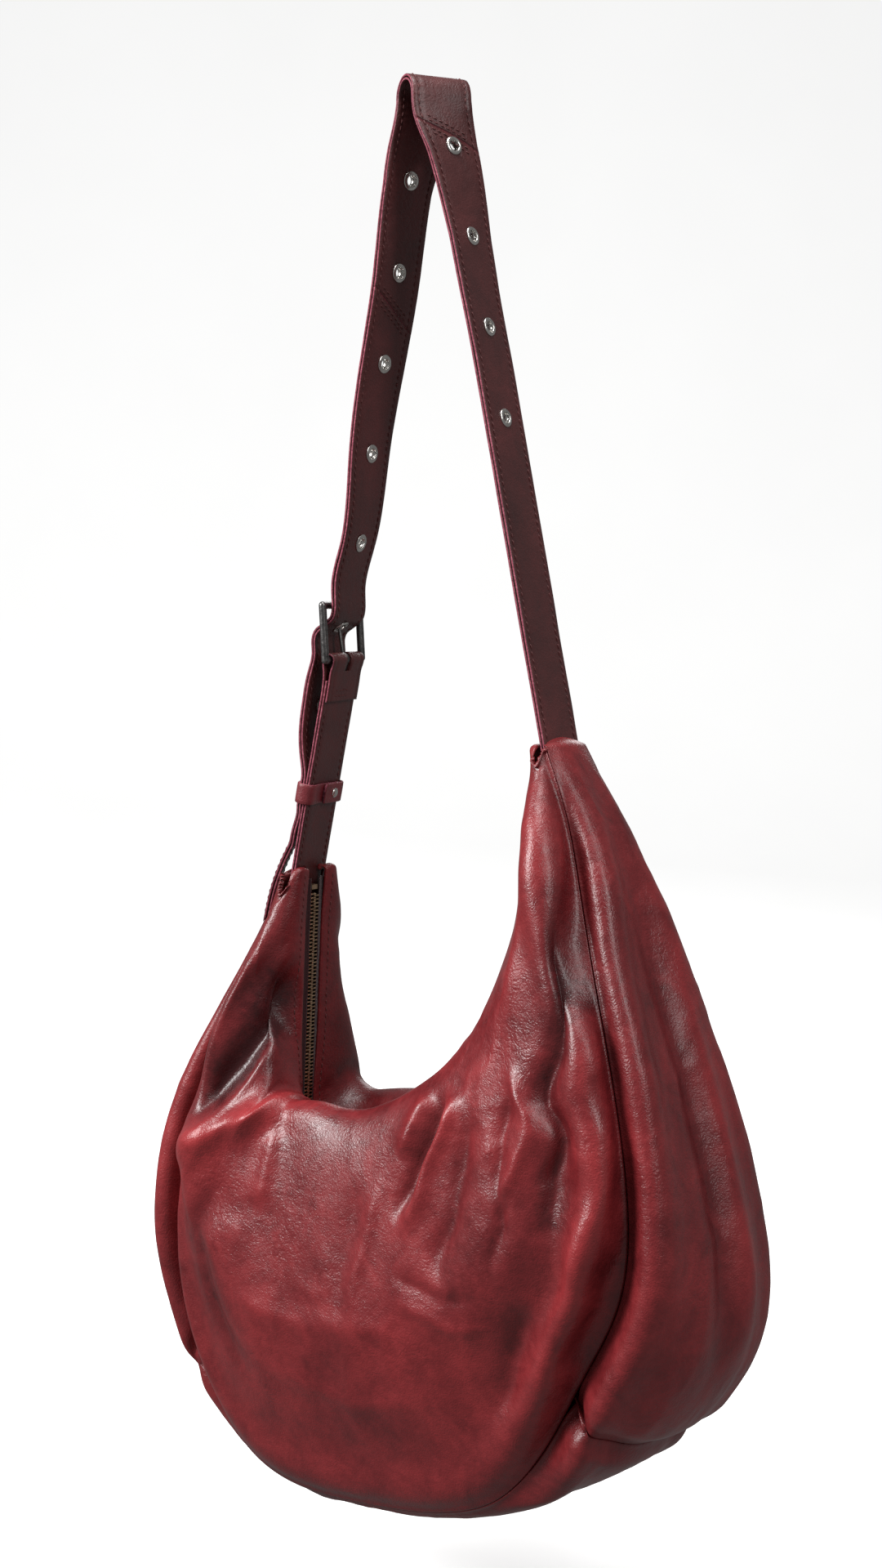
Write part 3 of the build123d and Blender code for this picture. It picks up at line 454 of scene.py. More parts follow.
def thicken(obj, thickness, levels=1):
    mod = obj.modifiers.new("thickness", "SOLIDIFY")
    mod.thickness = thickness * METRES
    mod.offset = -1.0
    mod.use_even_offset = False
    if levels:
        sub = obj.modifiers.new("smooth", "SUBSURF")
        sub.levels = sub.render_levels = levels


def finish_piece(obj, body, slot, material, *nodes):
    obj.data.materials.append(material)
    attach(obj, body)
    if nodes:
        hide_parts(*nodes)
    return obj


def frozen(obj):
    """Applies the modifiers of an object to its mesh."""
    graph = bpy.context.evaluated_depsgraph_get()
    mesh = bpy.data.meshes.new_from_object(obj.evaluated_get(graph), preserve_all_data_layers=True,
                                           depsgraph=graph)
    obj.modifiers.clear()
    obj.data = mesh


# ----------------------------------------------------------------- materials
class Shader:
    """A Principled material and short ways to add nodes to it."""

    def __init__(self, name, **sockets):
        self.material = bpy.data.materials.new(name)
        self.material.use_nodes = True
        self.tree = self.material.node_tree
        self.tree.nodes.clear()
        self.out = self.add("ShaderNodeOutputMaterial")
        self.bsdf = self.add("ShaderNodeBsdfPrincipled")
        self.link(self.bsdf.outputs[0], self.out.inputs["Surface"])
        self.coord = self.add("ShaderNodeTexCoord").outputs["Object"]
        for key, value in sockets.items():
            self.bsdf.inputs[key.replace("_", " ")].default_value = value

    def add(self, kind, **settings):
        node = self.tree.nodes.new(kind)
        for key, value in settings.items():
            setattr(node, key, value)
        return node

    def link(self, a, b):
        self.tree.links.new(a, b)

    def stretched(self, scale):
        node = self.add("ShaderNodeMapping")
        node.inputs["Scale"].default_value = scale
        self.link(self.coord, node.inputs["Vector"])
        return node.outputs["Vector"]

    def noise(self, scale, detail=3.0, rough=0.55, vector=None, distortion=0.0):
        node = self.add("ShaderNodeTexNoise")
        node.inputs["Scale"].default_value = scale
        node.inputs["Detail"].default_value = detail
        node.inputs["Roughness"].default_value = rough
        node.inputs["Distortion"].default_value = distortion
        self.link(vector or self.coord, node.inputs["Vector"])
        return node.outputs["Fac"]

    def cells(self, scale, feature="F1", vector=None):
        node = self.add("ShaderNodeTexVoronoi", feature=feature)
        node.inputs["Scale"].default_value = scale
        self.link(vector or self.coord, node.inputs["Vector"])
        return node.outputs["Distance"]

    def mark(self, name):
        return self.add("ShaderNodeAttribute", attribute_name=name).outputs["Fac"]

    def math(self, operation, a, b=None, clamp=False):
        node = self.add("ShaderNodeMath", operation=operation, use_clamp=clamp)
        for socket, value in zip(node.inputs, (a, b)):
            if value is None:
                continue
            if isinstance(value, (int, float)):
                socket.default_value = value
            else:
                self.link(value, socket)
        return node.outputs[0]

    def range(self, value, low, high, to_low=0.0, to_high=1.0):
        node = self.add("ShaderNodeMapRange")
        self.link(value, node.inputs["Value"])
        for key, number in zip(("From Min", "From Max", "To Min", "To Max"), (low, high, to_low, to_high)):
            node.inputs[key].default_value = number
        return node.outputs[0]

    def ramp(self, value, stops):
        node = self.add("ShaderNodeValToRGB")
        ends = node.color_ramp.elements
        while len(ends) < len(stops):
            ends.new(0.5)
        for element, (place, colour) in zip(ends, stops):
            element.position = place
            element.color = (*colour, 1.0)
        self.link(value, node.inputs[0])
        return node.outputs["Color"]

    def mix(self, share, a, b, blend="MIX"):
        node = self.add("ShaderNodeMix", data_type="RGBA", blend_type=blend)
        for socket, value in ((node.inputs[0], share), (node.inputs[6], a), (node.inputs[7], b)):
            if isinstance(value, (int, float)):
                socket.default_value = value
            elif isinstance(value, tuple):
                socket.default_value = (*value, 1.0)
            else:
                self.link(value, socket)
        return node.outputs[2]

    def bump(self, height, strength, distance, before=None):
        node = self.add("ShaderNodeBump")
        node.inputs["Strength"].default_value = strength
        node.inputs["Distance"].default_value = distance
        self.link(height, node.inputs["Height"])
        if before is not None:
            self.link(before, node.inputs["Normal"])
        return node.outputs["Normal"]

    def done(self, colour=None, roughness=None, normal=None):
        for key, value in (("Base Color", colour), ("Roughness", roughness), ("Normal", normal)):
            if value is not None:
                self.link(value, self.bsdf.inputs[key])
        return self.material


def leather(name, dark, middle, light, low=0.27, high=0.46, tone_and_painted_light=0.16):
    """Waxed leather: cloudy colour, paler where it is bent outwards as pulled-up wax goes, which also paints highlight
    on the ridges, painted shade darker in fold valleys and seams, fine pebbles and creases.
    """
    s = Shader(name, Specular_IOR_Level=0.5, Coat_Weight=0.12, Coat_Roughness=0.22)
    cloud = s.noise(8.0, 3.0)
    mottle = s.noise(36.0, 6.0, 0.68, distortion=0.6)
    fleck = s.noise(210.0, 4.0, 0.6)
    tone = s.math("ADD", s.math("MULTIPLY", cloud, 0.42), s.math("MULTIPLY", mottle, 0.48))
    tone = s.math("ADD", tone, s.math("MULTIPLY", fleck, 0.16))
    # painted light: the per-point mark makes ridges paler as painted highlight and fold valleys, seams and tucked
    # edges darker as painted shade; on the strap it is only random tone
    tone = s.math("ADD", tone, s.math("MULTIPLY", s.mark("tone_and_painted_light"), tone_and_painted_light))
    colour = s.ramp(tone, [(0.30, dark), (0.53, middle), (0.84, light)])
    pale = s.range(s.noise(90.0, 8.0, 0.75, distortion=1.2), 0.60, 0.78)
    colour = s.mix(s.math("MULTIPLY", pale, 0.35), colour, light)
    rough = s.range(s.math("ADD", s.math("MULTIPLY", mottle, 0.6), s.math("MULTIPLY", fleck, 0.4)),
                    0.3, 0.7, low, high)
    bent = s.add("ShaderNodeVectorMath", operation="MULTIPLY_ADD")
    wander = s.add("ShaderNodeTexNoise")
    wander.inputs["Scale"].default_value = 130.0
    s.link(s.coord, wander.inputs["Vector"])
    s.link(wander.outputs["Color"], bent.inputs[0])
    bent.inputs[1].default_value = (0.006, 0.006, 0.006)
    s.link(s.coord, bent.inputs[2])
    coarse = s.range(s.cells(190.0, "DISTANCE_TO_EDGE", bent.outputs[0]), 0.0, 0.22)
    fine = s.range(s.cells(520.0, "DISTANCE_TO_EDGE", bent.outputs[0]), 0.0, 0.3)
    crinkled = s.range(s.noise(24.0, 3.0), 0.50, 0.70, 0.12, 1.0)
    normal = s.bump(s.noise(110.0, 5.0, 0.6, distortion=0.8), 0.14, 0.0022)
    normal = s.bump(s.math("MULTIPLY", coarse, crinkled), 0.20, 0.0008, normal)
    normal = s.bump(fine, 0.22, 0.0004, normal)
    normal = s.bump(s.cells(1300.0), 0.20, 0.0003, normal)
    return s.done(colour, rough, normal)


def raw_edge():
    s = Shader("raw_edge", Specular_IOR_Level=0.25, Roughness=0.8)
    tone = s.noise(420.0, 4.0, 0.7)
    colour = s.ramp(tone, [(0.3, (0.12, 0.022, 0.035)), (0.55, (0.32, 0.075, 0.11)), (0.8, (0.52, 0.20, 0.24))])
    return s.done(colour, None, s.bump(s.noise(900.0, 3.0), 0.5, 0.0006))


def metal(name, dark, light, low, high, worn=300.0):
    s = Shader(name, Metallic=1.0)
    patch = s.noise(worn, 6.0, 0.65)
    colour = s.ramp(patch, [(0.32, dark), (0.68, light)])
    rough = s.range(s.noise(worn * 2.5, 4.0), 0.3, 0.7, low, high)
    return s.done(colour, rough, s.bump(s.noise(worn * 6, 3.0), 0.12, 0.0003))


def woven(name, dark, light):
    s = Shader(name, Specular_IOR_Level=0.2, Sheen_Weight=0.25, Roughness=0.9)
    run = s.math("SINE", s.math("MULTIPLY", s.mark("run"), 5200.0))
    side = s.math("SINE", s.math("MULTIPLY", s.mark("side"), 7000.0))
    weave = s.range(s.math("MULTIPLY", run, side), -1.0, 1.0)
    fuzz = s.math("ADD", s.math("MULTIPLY", weave, 0.6), s.math("MULTIPLY", s.noise(900.0), 0.4))
    return s.done(s.ramp(fuzz, [(0.25, dark), (0.8, light)]), None, s.bump(weave, 0.6, 0.0004))


def lining_cloth():
    s = Shader("lining_cloth", Specular_IOR_Level=0.2, Sheen_Weight=0.3, Roughness=0.85)
    across = s.add("ShaderNodeTexWave", wave_type="BANDS", bands_direction="X")
    upward = s.add("ShaderNodeTexWave", wave_type="BANDS", bands_direction="Z")
    for node in (across, upward):
        node.inputs["Scale"].default_value = 320.0
        s.link(s.coord, node.inputs["Vector"])
    weave = s.math("MULTIPLY", across.outputs["Fac"], upward.outputs["Fac"])
    tone = s.math("ADD", s.math("MULTIPLY", weave, 0.3), s.math("MULTIPLY", s.noise(30.0), 0.7))
    colour = s.ramp(tone, [(0.2, (0.035, 0.022, 0.018)), (0.8, (0.085, 0.055, 0.045))])
    return s.done(colour, None, s.bump(weave, 0.4, 0.0004))


def thread(name, dark, light):
    s = Shader(name, Specular_IOR_Level=0.4, Roughness=0.55)
    twist = s.noise(1500.0, 2.0)
    return s.done(s.ramp(twist, [(0.3, dark), (0.7, light)]), None, s.bump(twist, 0.4, 0.0003))


BAG_LEATHER = leather("bag_leather_mat", (0.040, 0.0030, 0.0042), (0.165, 0.0125, 0.0155), (0.36, 0.030, 0.034))
STRAP_LEATHER = leather("strap_leather_mat", (0.030, 0.0060, 0.0062), (0.068, 0.0125, 0.0125),
                        (0.140, 0.024, 0.025), 0.36, 0.58, 0.3)
KEEPER_LEATHER = leather("keeper_leather_mat", (0.06, 0.007, 0.009), (0.15, 0.016, 0.022),
                         (0.30, 0.045, 0.055), 0.34, 0.55, 0.3)
RAW_EDGE = raw_edge()
THREAD = thread("thread_mat", (0.055, 0.012, 0.012), (0.14, 0.035, 0.035))
NICKEL = metal("nickel_mat", (0.52, 0.50, 0.47), (0.74, 0.72, 0.69), 0.2, 0.34)
GUNMETAL = metal("gunmetal_mat", (0.10, 0.095, 0.095), (0.24, 0.23, 0.225), 0.24, 0.40)
BRASS = metal("aged_brass_mat", (0.22, 0.13, 0.075), (0.68, 0.48, 0.31), 0.26, 0.46, 500.0)
TAPE = woven("zip_tape_mat", (0.012, 0.004, 0.005), (0.06, 0.016, 0.018))
LINING_CLOTH = lining_cloth()


# ------------------------------------------------------------ panels of leather
def rolled_edge(p, n):
    """Columns that turn the leather's edge down, to put before a panel's first column."""
    start, normal = p[:, 0], n[:, 0]
    along = unit(p[:, 1] - p[:, 0])
    radius = 1.2
    columns = [start - normal * 2.4 - along * 1.0, start - normal * 1.9 - along * radius]
    for angle in (90.0, 60.0, 30.0):
        a = math.radians(angle)
        columns.append(start - normal * radius * (1 - math.cos(a)) - along * radius * math.sin(a))
    return np.stack(columns, 1)


def tucked_edge(p, n, inward, first):
    """Columns that carry a panel on into the seam, behind its first or last column."""
    edge = p[:, 0] if first else p[:, -1]
    normal = n[:, 0] if first else n[:, -1]
    columns = [edge + inward * step - normal * 0.2 for step in (2.0, 4.5, 7.0)]
    if first:
        columns = columns[::-1]
    return np.stack(columns, 1)


def corner_inward(t, sign):
    sec = Sections(t)
    ways = []
    for i in range(len(t)):
        inward = corner(sec, i, sign)
        ways.append(FORWARD * inward[0] * sign + sec.out[i] * inward[1])
    return np.array(ways)


def round_peaks(p, t):
    """Lowers the outer corners of the two peaks, so that their tops are round."""
    for end, far, reach, level in ((0, 14, 5.0, 1.0), (len(t) - 1, len(t) - 15, 7.0, 4.0)):
        way = unit(p[far].mean(0) - p[end].mean(0))
        near = smooth(1 - np.abs(t - t[end]) / 0.5)
        place = np.abs(p[end, :, 1]) / PEAK_HALF
        lower = place ** 9 * reach - smooth(place) * level
        p += (near[:, None] * lower[None, :])[..., None] * way


def mouth_rows(row, sec, i, up):
    """Rows past a panel's end that close it round the strap: the leather turns over towards it."""
    out, middle = sec.out[i], sec.depth[i] / 2
    away = (row - sec.inner[i]) @ out - middle
    rows = []
    for share, rise in ((0.18, 1.3), (0.45, 1.9), (0.75, 1.2), (1.0, -0.8)):
        left = np.sign(away) * np.maximum(np.abs(away) * (1 - share), np.minimum(np.abs(away), 3.4))
        rows.append(row + (left - away)[:, None] * out + up * rise)
    return rows


def side_panel(name, sign, folds, rows, columns):
    t = np.linspace(0, LAST, rows)
    p, n, to_seam, to_zip = side_grid(t, columns, sign)
    fade = (1 - hump(to_seam, 8.0)) * (1 - hump(to_zip, 9.0))
    ends = smooth(t / 1.0) * smooth((LAST - t) / 1.0)
    height = (fold_height(p, folds) + crumple(p)) * fade * (0.15 + 0.85 * ends)[:, None]
    lowest = np.minimum(height, 0.0)
    for _ in range(int(rows / 33)):
        lowest = np.minimum.reduce([lowest, np.roll(lowest, 1, 0), np.roll(lowest, -1, 0),
                                    np.roll(lowest, 1, 1), np.roll(lowest, -1, 1)])
    inside = p + n * (lowest - 3.6)[..., None]
    p = p + n * height[..., None]
    round_peaks(p, t)
    n = grid_normals(p, 1.0)
    if n[rows // 2, columns // 2][1] * sign < 0:
        n = -n
    inward = corner_inward(t, sign)
    edge = rolled_edge(p, n)
    tuck = tucked_edge(p, n, inward, False)
    whole = np.concatenate([edge, p, tuck], 1)
    # painted light mark for the shader: fold height gives painted highlight on ridges and painted shade in valleys,
    # the seam and the tucked edge get painted shade, the rolled zip edge is a little paler
    tone_and_painted_light = np.concatenate([np.zeros(edge.shape[:2]) + 0.12, height / 9.0 - 0.35 * hump(to_seam, 7.0),
                            np.zeros(tuck.shape[:2]) - 0.4], 1)
    sec = Sections(t)
    start = mouth_rows(whole[0], sec, 0, unit(p[0].mean(0) - p[10].mean(0)))[::-1]
    end = mouth_rows(whole[-1], sec, -1, unit(p[-1].mean(0) - p[-11].mean(0)))
    whole = np.concatenate([start, whole, end], 0)
    tone_and_painted_light = np.concatenate([tone_and_painted_light[:1]] * len(start) + [tone_and_painted_light] + [tone_and_painted_light[-1:]] * len(end), 0)
    cols = whole.shape[1]
    obj = mesh_object(name, whole.reshape(-1, 3), grid_faces(len(whole), cols), marks={"tone_and_painted_light": tone_and_painted_light})
    outward_flip(obj, lambda c: np.array([0, sign, 0]) * 1.0)
    thicken(obj, LEATHER, 1)
    return obj, p, n, to_zip, inside


def strip_panel(name, first, last, rows, columns):
    t = np.linspace(first, last, rows)
    p, n, to_front, to_back = strip_grid(t, columns)
    sec = Sections(t)
    v = (np.linspace(-1, 1, columns + 1)[None, :] * sec.seam[:, None])
    tall = smooth((t - 1.5) / 2.0) * smooth((6.6 - t) / 1.5)
    tube = smooth((t - 11.2) / 1.2) * smooth((15.0 - t) / 1.5)
    folds = tall[:, None] * (5.0 * hump(v - 20, 11.0) - 4.5 * hump(v - 2, 9.0) + 3.0 * hump(v + 40, 11.0))
    folds = folds + tube[:, None] * (5.0 * hump(v + 30, 14.0) - 4.0 * hump(v, 10.0) + 4.0 * hump(v - 30, 12.0))
    streak = smooth((t - 7.0) / 1.0) * smooth((11.0 - t) / 1.0)
    lines = ridged(p + 300, (70, 11, 40), 2.0) - 0.4
    folds = folds + streak[:, None] * 1.6 * lines
    fade = (1 - hump(to_front, 6.0)) * (1 - hump(to_back, 6.0))
    ends = smooth(t / 0.9) * smooth((LAST - t) / 0.9)
    height = (folds + crumple(p + 55)) * fade * (0.2 + 0.8 * ends)[:, None]
    run = np.concatenate([[0], np.cumsum(np.linalg.norm(np.diff(p[:, columns // 2], axis=0), axis=1))])
    joint = np.zeros(rows)
    if first > 0:
        joint = joint + hump(run, 9.0)
    if last < LAST:
        joint = joint + hump(run[-1] - run, 9.0)
    p = p + n * (height * (1 - joint)[:, None] - 5.0 * joint[:, None])[..., None]
    n = grid_normals(p, 1.0)
    if n[rows // 2, columns // 2] @ sec.out[rows // 2] < 0:
        n = -n
    back = corner_inward(t, 1)
    front = corner_inward(t, -1)
    whole = np.concatenate([tucked_edge(p, n, front, True), p, tucked_edge(p, n, back, False)], 1)
    # painted light mark for the shader: ridges paler as painted highlight, fold valleys, both seams, the tucked edges
    # and the joints between strips darker as painted shade
    side = np.zeros((rows, 3)) - 0.4
    tone_and_painted_light = height / 9.0 - 0.35 * hump(to_front, 6.0) - 0.35 * hump(to_back, 6.0) - 0.3 * joint[:, None]
    tone_and_painted_light = np.concatenate([side, tone_and_painted_light, side], 1)
    extra, marks = [], []
    cols = whole.shape[1]
    arch = np.clip(1 - (np.linspace(-1, 1, cols)) ** 2, 0, 1)[:, None]
    if first == 0:
        up = unit(whole[0] - whole[3])
        for k in (3, 2, 1):
            extra.append(whole[0] + up * arch * 2.4 * k - sec.out[0] * (1.1 * k * k) * arch)
            marks.append(tone_and_painted_light[0])
    body = [np.array(extra)] if extra else []
    body.append(whole)
    if last == LAST:
        up = unit(whole[-1] - whole[-4])
        body.append(np.array([whole[-1] + up * arch * 2.0 * k - sec.out[-1] * (1.0 * k * k) * arch
                              for k in (1, 2, 3)]))
        marks_end = [tone_and_painted_light[-1]] * 3
    else:
        marks_end = []
    if first > 0:
        down = -n[0][columns // 2]
        body.insert(0, np.array([whole[0] + down * k for k in (6.0, 3.0)]))
        marks = [tone_and_painted_light[0]] * 2
    if last < LAST:
        down = -n[-1][columns // 2]
        body.append(np.array([whole[-1] + down * k for k in (3.0, 6.0)]))
        marks_end = [tone_and_painted_light[-1]] * 2
    whole = np.concatenate(body, 0)
    tone_and_painted_light = np.concatenate([np.array(marks).reshape(-1, cols), tone_and_painted_light, np.array(marks_end).reshape(-1, cols)], 0)
    obj = mesh_object(name, whole.reshape(-1, 3), grid_faces(len(whole), cols), marks={"tone_and_painted_light": tone_and_painted_light})
    middle = np.array([0.0, 0.0, -600.0])
    outward_flip(obj, lambda c: np.array([c[0] - middle[0], 0.0, c[2] - middle[2]]))
    thicken(obj, LEATHER, 1)
    return obj, p, n


def lining_piece(name, p, n, node, first, last, inward=3.4):
    rows, cols = p.shape[:2]
    a, b = int(cols * first), int(cols * last)
    r = slice(int(rows / 16), rows - int(rows / 16), 3)
    cut = (p - n * inward)[r, a:b:3]
    obj = mesh_object(name, cut.reshape(-1, 3), grid_faces(cut.shape[0], cut.shape[1]))
    thicken(obj, CLOTH, 0)
    return finish_piece(obj, "bag", "lining", LINING_CLOTH, node)


ROWS = 380
COLS = 120
front_panel, FP, FN, FZ, FRONT_INSIDE = side_panel("front_panel_leather", -1.0, FRONT_FOLDS, ROWS, COLS)
back_panel, BP, BN, BZ, BACK_INSIDE = side_panel("back_panel_leather", 1.0, BACK_FOLDS, ROWS, COLS)
finish_piece(front_panel, "bag", "bag_leather", BAG_LEATHER, "front_panel")
finish_piece(back_panel, "bag", "bag_leather", BAG_LEATHER, "back_panel")
strips = []
for name, node, first, last, share in (("gusset_right_leather", "gusset_right", 0.0, BASE_FROM, 0.5),
                                       ("base_leather", "base_panel", BASE_FROM, BASE_TO, 0.36),
                                       ("gusset_left_leather", "gusset_left", BASE_TO, float(LAST), STITCH_RADIUS)):
    piece, P, N = strip_panel(name, first, last, int(ROWS * share), int(COLS * 0.62))
    finish_piece(piece, "bag", "bag_leather", BAG_LEATHER, node)
    strips.append((P, N))
lining_piece("lining_front_cloth", FRONT_INSIDE, FN, "lining_front", 0.27, 0.93, 0.0)
lining_piece("lining_back_cloth", BACK_INSIDE, BN, "lining_back", 0.27, 0.93, 0.0)
around = np.concatenate([P for P, N in strips]), np.concatenate([N for P, N in strips])
lining_piece("lining_gusset_cloth", around[0], around[1], "lining_gusset", 0.1, 0.9)


# ------------------------------------------------------------------- stitches
def stitch_row(points, normals, pitch, length, radius):
    """Stitches along a line: each one a short, slightly bowed thread that dives in at both ends."""
    run = chord_keys(points)
    centres = np.arange(pitch, run[-1] - pitch, pitch)
    verts, faces = [], []
    sides, rings = 6, 5
    for c in centres:
        at = c + np.linspace(-0.5, 0.5, rings) * length
        line = np.stack([np.interp(at, run, points[:, k]) for k in range(3)], 1)
        up = unit(np.stack([np.interp(at, run, normals[:, k]) for k in range(3)], 1))
        bow = np.array([-0.9, 0.05, 0.35, 0.05, -0.9]) * radius
        line = line + up * bow[:, None]
        way = unit(line[-1] - line[0])
        side = unit(np.cross(way, up[2]))
        size = np.array([0.55, 0.95, 1.05, 0.95, 0.55]) * radius
        start = len(verts)
        for k in range(rings):
            for a in range(sides):
                angle = 2 * math.pi * a / sides
                verts.append(line[k] + (side * math.cos(angle) + up[k] * math.sin(angle)) * size[k])
        for k in range(rings - 1):
            for a in range(sides):
                b = (a + 1) % sides
                faces.append((start + k * sides + a, start + k * sides + b,
                              start + (k + 1) * sides + b, start + (k + 1) * sides + a))
        faces.append(tuple(start + a for a in range(sides))[::-1])
        faces.append(tuple(start + (rings - 1) * sides + a for a in range(sides)))
    return verts, faces


def joined(parts):
    verts, faces = [], []
    for v, f in parts:
        offset = len(verts)
        verts.extend(v)
        faces.extend(tuple(i + offset for i in face) for face in f)
    return verts, faces


def at_zip_distance(p, n, to_zip, distance):
    """The line on a panel that runs at one distance from its zip edge, and its normals."""
    line, up = [], []
    for row in range(p.shape[0]):
        keys = to_zip[row]
        line.append([np.interp(distance, keys, p[row, :, k]) for k in range(3)])
        up.append([np.interp(distance, keys, n[row, :, k]) for k in range(3)])
    return np.array(line), unit(np.array(up))


parts = []
for p, n, z in ((FP, FN, FZ), (BP, BN, BZ)):
    line, up = at_zip_distance(p, n, z, 4.6)
    parts.append(stitch_row(line, up, 4.6, 3.7, STITCH_RADIUS))
verts, faces = joined(parts)
finish_piece(mesh_object("zip_stitching", verts, faces), "bag", "bag_leather", THREAD)


# ------------------------------------------------------------------------ zip
def tape_piece(name, sign, node):
    s = np.linspace(0, ZIP_LENGTH, 420)
    point, along, out = zip_place(s)
    across = np.array([4.0, 4.05, 4.5, 4.9, 5.2, 6.8, 9.5, 12.0])
    raise_by = np.array([1.25, 1.65, 1.85, 1.65, 1.15, 0.6, 0.0, -0.2])
    wave = (noise(np.stack([s, s * 0, s * 0], 1) + sign * 7, 9.0) - 0.5) * 0.5
    depth = 2.3 - raise_by[None, :] + wave[:, None] * (across[None, :] > 4.2)
    p = point[:, None] + FORWARD * (sign * across)[None, :, None] - out[:, None] * depth[..., None]
    run = np.repeat(s[:, None] * 0.001, len(across), 1)
    side = np.repeat(across[None, :] * 0.001, len(s), 0)
    obj = mesh_object(name, p.reshape(-1, 3), grid_faces(len(s), len(across)), marks={"run": run, "side": side})
    outward_flip(obj, lambda c: np.array([-0.2, 0, 1.0]) if c[0] > -60 else np.array([1.0, 0, 0]))
    thicken(obj, CLOTH, 0)
    return finish_piece(obj, "bag", "zip_tape", TAPE, node)


TOOTH_OUTLINE = [(-0.75, 0.30), (-0.35, 0.52), (0.35, 0.56), (0.95, 0.36), (1.5, 0.46), (2.95, 0.56),
                 (2.95, -0.56), (1.5, -0.46), (0.95, -0.36), (0.35, -0.56), (-0.35, -0.52), (-0.75, -0.30)]

TOOTH_STRETCH = 1.35


def teeth_piece(name, sign, first, node):
    s = np.arange(first, ZIP_LENGTH - 9.6, 2.4)
    point, along, out = zip_place(s)
    outline = np.array(TOOTH_OUTLINE)
    middle = 1.5
    verts, faces = [], []
    count = len(outline)
    levels = [(-1.25, 0.84), (-1.05, 1.0), (1.05, 1.0), (1.3, 0.84)]
    centre = outline.mean(0)
    for k in range(len(s)):
        start = len(verts)
        for height, size in levels:
            ring = centre + (outline - centre) * size
            for y, x in ring:
                verts.append(point[k] + FORWARD * sign * y * TOOTH_STRETCH + along[k] * x + out[k] * (height - middle))
        for level in range(len(levels) - 1):
            for a in range(count):
                b = (a + 1) % count
                low, top = start + level * count, start + (level + 1) * count
                faces.append((low + a, low + b, top + b, top + a))
        faces.append(tuple(start + a for a in range(count))[::-1])
        faces.append(tuple(start + (len(levels) - 1) * count + a for a in range(count)))
    if sign > 0:
        faces = [f[::-1] for f in faces]
    obj = mesh_object(name, verts, faces, smooth_shading=False)
    return finish_piece(obj, "bag", "zip_metal", BRASS, node)


tape_piece("zip_tape_front_cloth", -1.0, "zip_tape_front")
tape_piece("zip_tape_back_cloth", 1.0, "zip_tape_back")
teeth_piece("zip_teeth_front_metal", -1.0, 6.0, "zip_teeth_front")
teeth_piece("zip_teeth_back_metal", 1.0, 7.2, "zip_teeth_back")


def softened(node, width, material):
    """A CAD node that stays: its material, and a small bevel on its edges."""
    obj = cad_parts[node]
    obj.data.materials.clear()
    obj.data.materials.append(material)
    if width:
        bevel = obj.modifiers.new("soft edges", "BEVEL")
        bevel.width = width * METRES
        bevel.segments = 2
        bevel.limit_method = "ANGLE"
        bevel.angle_limit = math.radians(40)


for node in ("zip_top_stops", "zip_bottom_stop", "zip_slider_upper", "zip_slider_lower", "zip_pull"):
    softened(node, 0.18, BRASS)
softened("buckle_frame", 0.0, GUNMETAL)
softened("buckle_prong", 0.0, GUNMETAL)


# ---------------------------------------------------------------------- strap
RAIL_RADIUS = 9.5
STRAP_HALF = 19.0
LAYER, LAYER_GAP = 1.8, 0.2
THICK_HALF = LAYER + LAYER_GAP / 2
WRAP = RAIL_RADIUS + THICK_HALF
RAIL_TURN = math.radians(31.0)
RAIL_AXIS = np.array([math.sin(RAIL_TURN), math.cos(RAIL_TURN), 0.0])
RAIL_SIDE = np.array([RAIL_AXIS[1], -RAIL_AXIS[0], 0.0])
RIGHT_PEAK = np.array([89.5, 0.0, -380.0])
LEFT_PEAK = np.array([-98.5, 0.0, -470.0])
HEEL = np.array([-69.0, 0.0, -334.0])
TWIST = math.radians(-8.0)
LEAN = math.radians(-2.0)
RIGHT_TWIST = [(0, 31), (9.5, 31), (30, 17), (85, 3), (140, 0)]
LEFT_TWIST = [(0, 31), (9.5, 31), (50, 12), (104, 8), (158, 6), (211, 0), (263, -7), (290, -8), (426, -8),
              (446, -34), (520, -36)]
BUCKLE_LINE = [(-6.0, 44.0), (-5.7, 35.0), (-4.9, 28.6), (-2.5, 24.3), (0.0, 22.85), (2.4, 21.4),
               (4.8, 19.95), (7.2, 18.5), (10.2, 13.6)]
TAIL_LINE = [(11.4, 2.0), (12.0, -12.0), (12.2, -30.0), (10.8, -50.0), (6.6, -66.0), (4.0, -75.0),
             (4.0, -86.0), (4.0, -97.0), (8.0, -108.0), (13.5, -122.0), (18.5, -138.0), (22.0, -156.0),
             (23.5, -178.0)]
EYELET_PITCH = 55.0


def tilted(up):
    across = np.array([math.sin(TWIST), math.cos(TWIST), 0.0])
    across = unit(across - up * (across @ up))
    return across, np.cross(up, across), up


TAB_UP = unit(HEEL - LEFT_PEAK)
TAB = tilted(TAB_UP)
TURN = math.atan2(TAB_UP[0], TAB_UP[2]) - LEAN
BUCKLE_UP = TAB[2] * math.cos(TURN) + TAB[1] * math.sin(TURN)
BUCKLE = (TAB[0], np.cross(BUCKLE_UP, TAB[0]), BUCKLE_UP)


def placed(axes, out, up, across=0.0):
    return HEEL + axes[0] * across + axes[1] * out + axes[2] * up


def leg(points, twist):
    """Centres, directions and directions across of one leg, every millimetre or so."""
    points = np.asarray(points, float)
    keys = chord_keys(points)
    curve = Spline(keys, points, np.array([0, 0, -1.0]), unit(points[-1] - points[-2]))
    centre = curve(np.linspace(0, keys[-1], int(keys[-1])))
    way = unit(np.gradient(centre, axis=0))
    degrees = np.interp(-centre[:, 2], [a for a, b in twist], [b for a, b in twist])
    turn = np.radians(degrees)
    across = np.stack([np.sin(turn), np.cos(turn), turn * 0], 1)
    across = unit(across - way * np.sum(across * way, 1, keepdims=True))
    return centre, way, across


